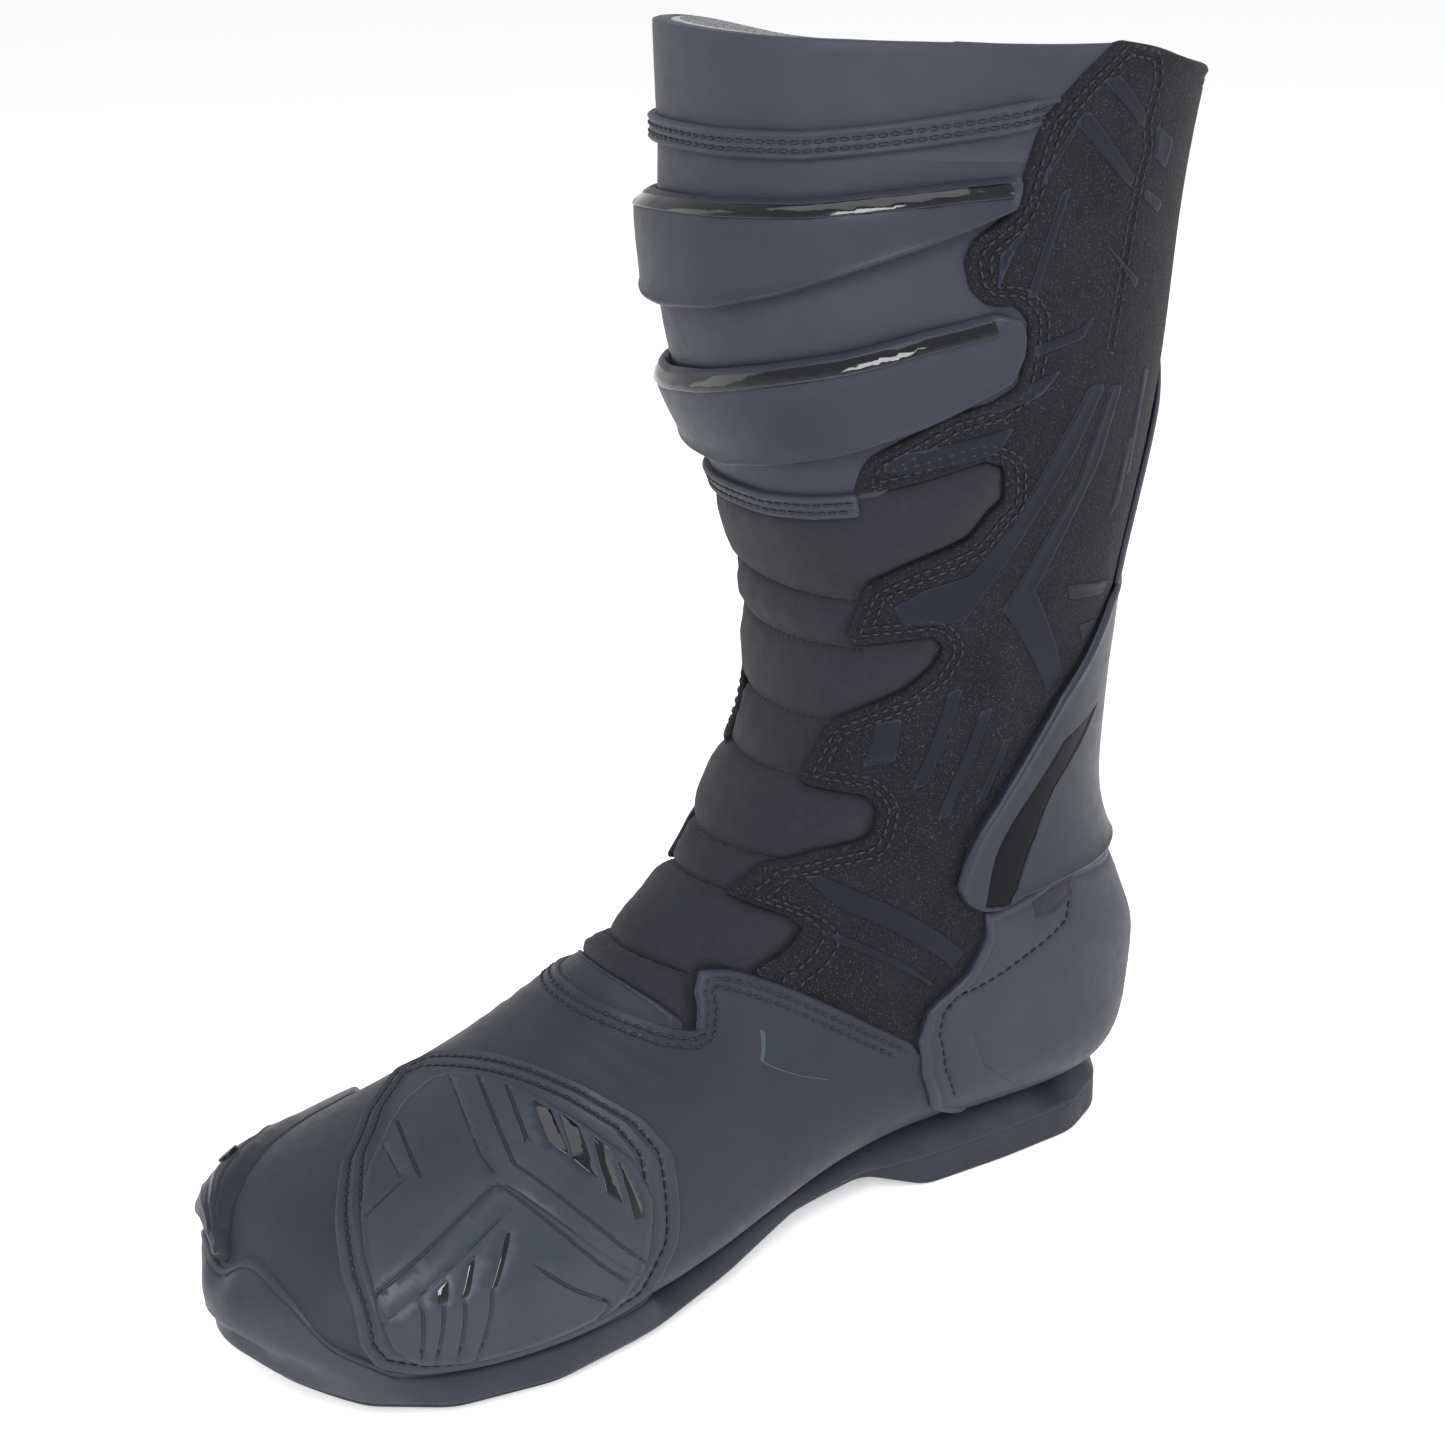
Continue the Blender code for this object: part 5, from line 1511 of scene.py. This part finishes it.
def make_bellows():
    opening = ring_of(bellows_opening(), ANKLE, 2.0, 2.0)
    seams = [line_of(seam, ANKLE, 3.0, 2.0) for seam in SEAMS]
    extra = []
    for line in seams:
        extra += [beside(line, k) if k else line for k in (-2.4, -1.2, -0.5, 0, 0.5, 1.2, 2.4)]
    extra += [opening, inset(opening, 1.0), inset(opening, 2.2)]
    sides = [(3.2, 80), (4.2, 70), (5.4, 56), (6.6, 54), (7.6, 34), (8.6, 32), (9.6, 32), (10.9, 34)]
    outline = [
        (2.86, -40), (2.86, 0), (2.80, 26), (2.62, 42), (2.42, 66), (2.42, 84), (2.9, 86)
    ] + sides + [(11.0, 0)]
    outline += [(s, -a) for s, a in reversed(sides)] + [(2.92, -74)]
    ring = ring_of(outline, ANKLE, 6.0, 2.4)
    spots, triangles = filled(ring, 2.7, (), np.concatenate(extra))
    station, angle = ANKLE.back(spots)
    within = inside(spots, opening)
    gap = distance_to(spots, opening)
    for line in seams:
        gap = np.minimum(gap, distance_to(spots, line, False))
    share = np.clip(gap / 9.5, 0, 1)
    puff = np.where(within, (1 - (1 - share) ** 2) ** 0.62, 0)
    folds = 0.16 * np.sin(angle * 0.55 + np.sin(station * 7.0) * 1.7) * np.sin(share * math.pi)
    seam_depth = -1.9
    rise = seam_depth + 4.3 * puff + np.where(within, folds, 0)
    count = len(spots)
    points = np.concatenate(
        [on_last(station, angle, rise), on_last(station, angle, np.full(count, -3.4))]
    )
    obj = build("ankle_bellows_quilt", [(points, slab_faces(triangles, count))], STRETCH, 80)
    inflate(obj, np.where(within & (gap > 1.1), 0.0, 1.0), count)
    place(obj, "ankle", "stretch", "ankle_bellows")
    rows = []
    for line in seams:
        rows.append(stitch_shape(line, seam_depth + 0.25, ANKLE, length=1.7, pause=1.1, thick=0.28))
    place(build("bellows_seam_stitching", rows, THREAD), "ankle", "stretch")
    sock = sleeve_shape(
        banded(
            lambda a: 3.05 + 0 * a, lambda a: 8.1 + 1.25 * np.cos(np.radians(a)), 30, 0.0, -3.3, -2.4
        ),
        96
    )
    place(build("ankle_bellows_backing", [sock], STRETCH), "ankle", "stretch")


PUFF_FRAMES = 16
PUFF_LIMIT = 1.6


def inflate(obj, pinned, outer_count):
    """Puffs the fabric between its seams with a cloth simulation, then keeps that shape."""
    scene = bpy.context.scene
    before = np.array([v.co for v in obj.data.vertices], float)
    weights = np.ones(len(before))
    weights[:outer_count] = pinned
    group = obj.vertex_groups.new(name="sewn")
    for i, w in enumerate(weights):
        if w > 0:
            group.add([i], float(w), "REPLACE")
    cloth = obj.modifiers.new("puff", "CLOTH")
    settings = cloth.settings
    settings.vertex_group_mass = "sewn"
    settings.quality = 6
    settings.mass = 0.25
    settings.tension_stiffness = 12
    settings.compression_stiffness = 8
    settings.shear_stiffness = 6
    settings.bending_stiffness = 0.2
    settings.use_pressure = True
    settings.uniform_pressure_force = 4.0
    settings.effector_weights.gravity = 0.0
    cloth.point_cache.frame_start = 1
    cloth.point_cache.frame_end = PUFF_FRAMES
    for frame_number in range(1, PUFF_FRAMES + 1):
        scene.frame_set(frame_number)
    graph = bpy.context.evaluated_depsgraph_get()
    after = np.array([v.co for v in obj.evaluated_get(graph).data.vertices], float)
    obj.modifiers.remove(cloth)
    obj.vertex_groups.remove(group)
    scene.frame_set(1)
    moved = after - before
    far = np.linalg.norm(moved, axis=1, keepdims=True)
    limit = PUFF_LIMIT * MM
    moved *= np.where(far > limit, limit / np.maximum(far, 1e-12), 1.0)
    moved[outer_count:] = 0
    obj.data.vertices.foreach_set("co", (before + moved).astype(np.float32).ravel())
    obj.data.update()


SUEDE_TOP = 0.95


def kept_inside(outline, limit, chart):
    """The outline with any part outside the limit (a ring in flat millimetres) drawn back to it."""
    ring = ring_of(outline, chart, 0.6, 1.0)
    outside = ~inside(ring, limit)
    for i in np.flatnonzero(outside):
        ring[i] = limit[np.argmin(np.sum((limit - ring[i]) ** 2, axis=1))]
    s, a = chart.back(ring)
    return list(zip(s, a))


def suede_high(station, angle):
    """The suede's own slight looseness over the calf and ankle."""
    return SUEDE_TOP + 0.22 * np.sin(station * 3.1 + angle / 19.0) * np.sin(angle / 31.0)


def film_shape(film, limit):
    """A thin film welded on the suede, with a raised edge."""
    outline = kept_inside(film, limit, ANKLE)
    raised = lambda s, a: suede_high(s, a) + 0.42
    return shape(outline, ANKLE, 0.4, raised, 2.4, 0.4, 0, hems=[(0.9, 0.5, 0.12)], under=0.1)


def inner_side(line, ring):
    """1 when the panel lies to the left of a line along its edge, or else -1."""
    return 1 if inside(beside(line, 3.0)[::40], ring).mean() > 0.5 else -1


def make_side_panels():
    lower = [(9.26, 20), (9.40, 32), (9.52, 44), (9.66, 66), (9.78, 92)]
    behind = [(8.9, 92), (8.0, 112), (7.5, 140), (7.3, 160), (7.28, 180)]
    outline = SUEDE_EDGE + lower + behind + [(0.20, 180), (0.20, 152), (0.13, 132), (0.03, 112)]
    hems = [(1.2, 0.9, 0.45), (2.9, 0.5, -0.2), (5.0, 0.5, -0.2)]
    seam = [(REAR_SEAM, 0.8, -0.3)]
    medial = shape(outline, ANKLE, -0.6, suede_high, 2.9, 0.7, 2.6, hems=hems, lines=seam)
    place(build("medial_suede_panel", [medial], SUEDE), "ankle", "suede", "medial_panel")

    edge = line_of(SUEDE_EDGE, ANKLE, 2.6, 0.8)
    rows = []
    side = inner_side(edge, ring_of(outline, ANKLE, 2.6, 2.0))
    for distance in (2.9, 5.0):
        rows.append(stitch_shape(beside(edge, side * distance), suede_high, ANKLE))
    for distance in (-1.1, 1.1):
        line = beside(line_of(REAR_SEAM, ANKLE, 2.0, 1.0), distance)
        rows.append(stitch_shape(line, suede_high, ANKLE))
    place(build("medial_suede_stitching", rows, THREAD), "ankle", "suede")

    limit = resampled(inset(ring_of(outline, ANKLE, 2.6, 1.0), 0.9), 0.4, True)
    films = [film_shape(film, limit) for film in FILMS]
    place(build("medial_welded_films", films, FILM, 60), "ankle", "suede")

    stops = np.linspace(4.9, 0.72, 24)
    tape_rear = [(s, lateral_angle(s, ZIP_FORWARD - 4.2)) for s in stops]
    tape_front = [(s, lateral_angle(s, ZIP_FORWARD + 4.2)) for s in stops]
    fingers = [(s, -a) for s, a in SUEDE_EDGE[SUEDE_EDGE.index((3.10, 67)) :]]
    start = (0.72, tape_front[-1][1])
    front = [
        start, (0.72, -76), (1.0, -78), (1.5, -78), (2.0, -80), (2.5, -76), (2.75, -66), (2.95, -62)
    ]
    outline = front + fingers + [(s, -a) for s, a in lower + behind]
    outline += [(0.20, -180), (0.20, -130), (0.72, tape_rear[-1][1])]
    rear_end, front_end = tape_rear[0][1], tape_front[0][1]
    zip_end = (rear_end + front_end) / 2
    outline += tape_rear[::-1] + [
        (5.05, rear_end), (5.12, zip_end), (5.05, front_end)
    ] + tape_front[:-1]
    lateral = shape(outline, ANKLE, -0.6, suede_high, 2.9, 0.7, 2.2, hems=hems)
    place(build("lateral_suede_panel", [lateral], SUEDE), "ankle", "suede", "lateral_panel")
    edge = line_of(front[1:] + fingers, ANKLE, 2.6, 0.8)
    ring = ring_of(outline, ANKLE, 2.2, 2.0)
    side = inner_side(edge, ring)
    rows = [stitch_shape(beside(edge, side * d), suede_high, ANKLE) for d in (2.9, 5.0)]
    zip_edge = line_of(tape_rear[::-1] + [(5.1, zip_end)] + tape_front, ANKLE, 3.0, 1.0)
    side = inner_side(zip_edge, ring)
    rows.append(stitch_shape(beside(zip_edge, side * 3.0), suede_high, ANKLE))
    place(build("lateral_suede_stitching", rows, THREAD), "ankle", "suede")
    both_sides = ((4.80, 40), (4.44, 62))
    kept = [
        film
        for film in FILMS
        if min(a for _, a in film) > 108 or min(s for s, _ in film) > 5.0 or film[0] in both_sides
    ]
    kept.append([(5.5, 92), (5.44, 97), (6.2, 90), (6.26, 85)])
    kept.append([(3.40, 52), (3.30, 62), (3.74, 52), (3.80, 46)])
    limit = resampled(inset(ring_of(outline, ANKLE, 2.2, 1.0), 0.9), 0.4, True)
    films = [film_shape(mirrored(film), limit) for film in kept]
    place(build("lateral_welded_films", films, FILM, 60), "ankle", "suede")


def make_rear_shell():
    outline = whole(SHELL_EDGE)
    bow = lambda s, a: 3.9 + 0.7 * smooth_step((s - 4.2) / 1.2) - 0.9 * smooth_step((4.3 - s) / 0.7)
    recess = [(SHELL_INSERT, 0.8, -1.3), ([(s, 360 - a) for s, a in SHELL_INSERT], 0.8, -1.3)]
    inner = lambda s, a: 1.6 + 1.2 * smooth_step((s - 6.0) / 0.5)
    shell = shape(
        outline, HEEL, inner, bow, 2.6, 1.2, 4.0, hems=[(1.4, 0.9, 0.35)], bars=recess, under=1.0
    )
    place(build("rear_shell_moulding", [shell], SHELL_FINISH), "shaft", "hard_shell", "rear_shell")
    for side, outline in (("medial", SHELL_INSERT), ("lateral", mirrored(SHELL_INSERT))):
        insert = shape(outline, HEEL, 2.9, lambda s, a: bow(s, a) - 0.35, 2.0, 0.4, 0.6)
        made = build("rear_shell_gloss_" + side, [insert], INSERT_BLACK)
        place(made, "shaft", "gloss", "rear_shell_insert_" + side)
    half = [
        (1.86, 180), (1.90, 172), (2.05, 160), (2.4, 148), (2.9, 140), (3.4, 136), (3.8, 138),
        (3.86, 150), (3.86, 180)
    ]
    guard = shape(whole(half), HEEL, 1.1, 2.5, 3.0, 0.9, 5.0, hems=[(1.6, 0.9, 0.4)])
    place(build("calf_guard_strip", [guard], SHELL_FINISH), "shaft", "hard_shell", "calf_guard")
    ridge = shape([(2.3, 176), (3.6, 176), (3.6, 184), (2.3, 184)], HEEL, 2.2, 3.3, 2.0, 0.8, 2.0)
    place(build("calf_guard_ridge", [ridge], SHELL_FINISH), "shaft", "hard_shell")


# ------------------------------------------------------------------ the zip and its closure
def zip_frame():
    """The zip's own axes: origin at its top, x down along it, y towards the toe, z away from the boot."""
    top = lateral_point(ZIP_FORWARD, ZIP_TOP, 0)
    down = (lateral_point(ZIP_FORWARD, ZIP_BOTTOM, 0) - top).normalized()
    forward = Vector((0, -1, 0))
    forward = (forward - down * forward.dot(down)).normalized()
    place_matrix = Matrix((down, forward, down.cross(forward))).transposed().to_4x4()
    place_matrix.translation = top
    return place_matrix


def make_zip():
    stops = np.linspace(0.74, 4.95, 40)
    for name, inner, outer, node in (
        ("front", 0.6, 12.0, "zip_tape_front"), ("rear", -0.6, -12.0, "zip_tape_rear")
    ):
        near = [(s, lateral_angle(s, ZIP_FORWARD + inner)) for s in stops]
        far = [(s, lateral_angle(s, ZIP_FORWARD + outer)) for s in stops]
        tape = shape(near + far[::-1], ANKLE, -1.2, -0.65, 2.4, 0.2, 0, hems=[(2.0, 0.5, 0.15)])
        place(build("zip_tape_cloth_%s" % name, [tape], TAPE), "shaft", "stretch", node)
    where = zip_frame()
    length = (lateral_point(ZIP_FORWARD, ZIP_BOTTOM, 0) - where.translation).length / MM
    pitch = 2.4
    for name, side, node in (("front", 1, "zip_teeth_front"), ("rear", -1, "zip_teeth_rear")):
        shapes = []
        start = 3.0 if side > 0 else 3.0 + pitch / 2
        for k in range(int((length - 6) / pitch)):
            u = start + k * pitch
            profile = [
                (-0.55, 3.1), (0.55, 3.1), (0.55, 1.0), (0.85, 0.5), (0.62, -0.45), (0.0, -0.75),
                (-0.62, -0.45), (-0.85, 0.5), (-0.55, 1.0)
            ]
            low = [where @ (Vector((u + p, side * q, TOOTH_LIFT - 0.95)) * MM) for p, q in profile]
            mid = [
                where @ (Vector((u + p * 1.08, side * q * 1.02, TOOTH_LIFT + 0.5)) * MM)
                for p, q in profile
            ]
            high = [
                where @ (Vector((u + p * 0.72, side * (q - 0.1) * 0.93, TOOTH_LIFT + 0.95)) * MM)
                for p, q in profile
            ]
            faces = grid_faces(3, len(profile)) + end_caps(3, len(profile))
            shapes.append(([tuple(p) for p in low + mid + high], faces))
        cord_line = [
            where @ (Vector((u, side * 3.3, TOOTH_LIFT - 0.3)) * MM)
            for u in np.linspace(1.0, length - 1, 60)
        ]
        shapes.append(tube_shape([tuple(p) for p in cord_line], 0.75, 8))
        place(build("zip_chain_%s" % name, shapes, ZIP_METAL, 35), "shaft", "zip", node)


def finish_small_parts():
    """The small parts that keep their CAD shape get rounded edges and their finish."""
    zip_parts = ("zip_slider", "zip_slider_bridge", "zip_top_stop", "zip_bottom_stop")
    screws = ("slider_screw_front", "slider_screw_rear")
    finishes = {node: ZIP_METAL for node in zip_parts}
    finishes |= {node: DARK_STEEL for node in screws}
    finishes["zip_pull"] = PAD_FINISH
    for node, finish in finishes.items():
        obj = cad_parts[node]
        obj.data.materials.clear()
        obj.data.materials.append(finish)
        bevel = obj.modifiers.new("rounding", "BEVEL")
        bevel.width = 0.35 * MM
        bevel.segments = 3
        bevel.limit_method = "ANGLE"
        bevel.angle_limit = math.radians(35)


FLAP_EDGE = [
    (0.22, -127), (0.20, -96), (0.24, -70), (0.34, -60), (0.62, -59), (0.76, -66), (0.84, -96),
    (0.84, -127)
]


def make_closure():
    flap = shape(FLAP_EDGE, SHAFT, 4.7, 6.3, 2.4, 0.7, 4.0, hems=[(1.3, 0.9, 0.3), (3.0, 0.5, -0.2)])
    tip = shape(
        [(0.34, -76), (0.38, -64), (0.62, -63), (0.70, -76)], SHAFT, 6.0, 7.1, 1.8, 0.5, 1.5,
        hems=[(2.0, 0.5, -0.25)]
    )
    place(build("closure_flap_panel", [flap], MICRO), "closure_flap", "microfibre", "closure_flap")
    place(build("closure_flap_tip", [tip], FILM), "closure_flap", "microfibre")
    ring = ring_of(FLAP_EDGE, SHAFT, 4.0, 1.2)
    rows = [stitch_shape(ring, 6.25, SHAFT, inset_by=3.0, closed=True, length=2.3, pause=0.9)]
    place(build("closure_flap_stitching", rows, THREAD), "closure_flap", "microfibre")
    loop = [(0.32, -78), (0.34, -66), (0.62, -66), (0.70, -78)]
    pile = shape(loop, SHAFT, 3.4, 4.4, 2.0, 0.4, 1.0)
    place(build("closure_loop_pile", [pile], LOOP), "closure_flap", "lining", "flap_loop_strip")
    hooks = shape(loop, SHAFT, 0.9, 2.6, 2.0, 0.4, 1.0)
    place(build("closure_hook_tape", [hooks], HOOK), "shaft", "stretch", "flap_hook_strip")
    anchor = [(0.22, -130.5), (0.84, -130.5), (0.84, -142), (0.22, -142)]
    block = shape(anchor, SHAFT, 0.9, 6.2, 2.2, 1.2, 3.0, hems=[(2.6, 0.5, -0.25)])
    place(build("closure_anchor_pad", [block], MICRO), "shaft", "microfibre", "flap_anchor")


# ------------------------------------------------------------------ camera, light and floor
def add_area(name, spot, aim, size, power, colour=(1, 1, 1)):
    light = bpy.data.lights.new(name, "AREA")
    light.shape = "RECTANGLE"
    light.size, light.size_y = size
    light.energy = power
    light.color = colour
    obj = bpy.data.objects.new(name, light)
    obj.location = spot
    obj.rotation_mode = "QUATERNION"
    obj.rotation_quaternion = (Vector(aim) - Vector(spot)).to_track_quat("-Z", "Y")
    bpy.context.scene.collection.objects.link(obj)
    return obj


CAMERA_EYE = (0.5848, -0.3509, 0.4012)
CAMERA_AIM = (0.0004, 0.0130, 0.1484)
CAMERA_ROLL = -0.862
FLOOR_REACH = 9
LIGHT_AIM = (0.0, 0.0, 0.16)


def make_studio():
    scene = bpy.context.scene
    camera_data = bpy.data.cameras.new("camera")
    camera_data.sensor_width = 36.0
    camera_data.lens = 65.0
    camera_data.shift_x = -0.0118
    camera_data.shift_y = 0.0019
    camera_data.clip_start, camera_data.clip_end = 0.01, 50
    camera = bpy.data.objects.new("camera", camera_data)
    eye, aim = Vector(CAMERA_EYE), Vector(CAMERA_AIM)
    camera.location = eye
    camera.rotation_mode = "QUATERNION"
    look = (aim - eye).to_track_quat("-Z", "Y")
    roll = Matrix.Rotation(math.radians(CAMERA_ROLL), 4, "Z").to_quaternion()
    camera.rotation_quaternion = look @ roll
    scene.collection.objects.link(camera)
    scene.camera = camera
    scene.view_settings.view_transform = "Standard"
    scene.view_settings.look = "None"
    scene.view_settings.exposure = 0.0

    world = bpy.data.worlds.new("studio")
    world.use_nodes = True
    background = world.node_tree.nodes["Background"]
    sky = world.node_tree
    away = sky.nodes.new("ShaderNodeTexCoord").outputs["Generated"]
    parts = sky.nodes.new("ShaderNodeSeparateXYZ")
    sky.links.new(away, parts.inputs["Vector"])
    height = ranged(sky, parts.outputs["Z"], 0.05, 0.60, 0.95, 0.50)
    sky.links.new(height, background.inputs["Strength"])
    background.inputs["Color"].default_value = (1, 1, 1, 1)
    scene.world = world

    floor = bpy.data.meshes.new("floor")
    corners = [
        (x * FLOOR_REACH, y * FLOOR_REACH, -0.0002)
        for x, y in ((-1, -1), (1, -1), (1, 1), (-1, 1))
    ]
    floor.from_pydata(corners, [], [(0, 1, 2, 3)])
    paper, tree, shader = new_material("paper_floor")
    fibre = noise(tree, 300, 3.0)
    tree.links.new(
        mixed(tree, fibre, (0.93, 0.93, 0.93), (0.97, 0.97, 0.97)), shader.inputs["Base Color"]
    )
    shader.inputs["Roughness"].default_value = 0.9
    shader.inputs["Specular IOR Level"].default_value = 0.0
    shader.inputs["Emission Color"].default_value = (1, 1, 1, 1)
    shader.inputs["Emission Strength"].default_value = 0.40
    floor.materials.append(paper)
    ground = bpy.data.objects.new("floor", floor)
    scene.collection.objects.link(ground)

    add_area("key_softbox", (1.15, -0.85, 1.15), LIGHT_AIM, (0.9, 0.9), 28, (0.97, 0.98, 1.0))
    add_area("toe_softbox", (-1.2, -1.1, 0.9), LIGHT_AIM, (0.8, 1.4), 4)
    add_area("rear_softbox", (0.9, 1.3, 0.9), LIGHT_AIM, (0.7, 1.5), 6)
    add_area("top_softbox", (0.0, 0.1, 1.9), LIGHT_AIM, (1.3, 1.3), 8)


make_studio()
make_rand()
make_tread()
make_vamp()
make_pad()
make_tab()
make_heel()
make_toe_slider()
make_foot_inside()
make_shaft_inside()
make_bindings()
make_shin_plates()
make_bellows()
make_side_panels()
make_rear_shell()
make_zip()
finish_small_parts()
make_closure()
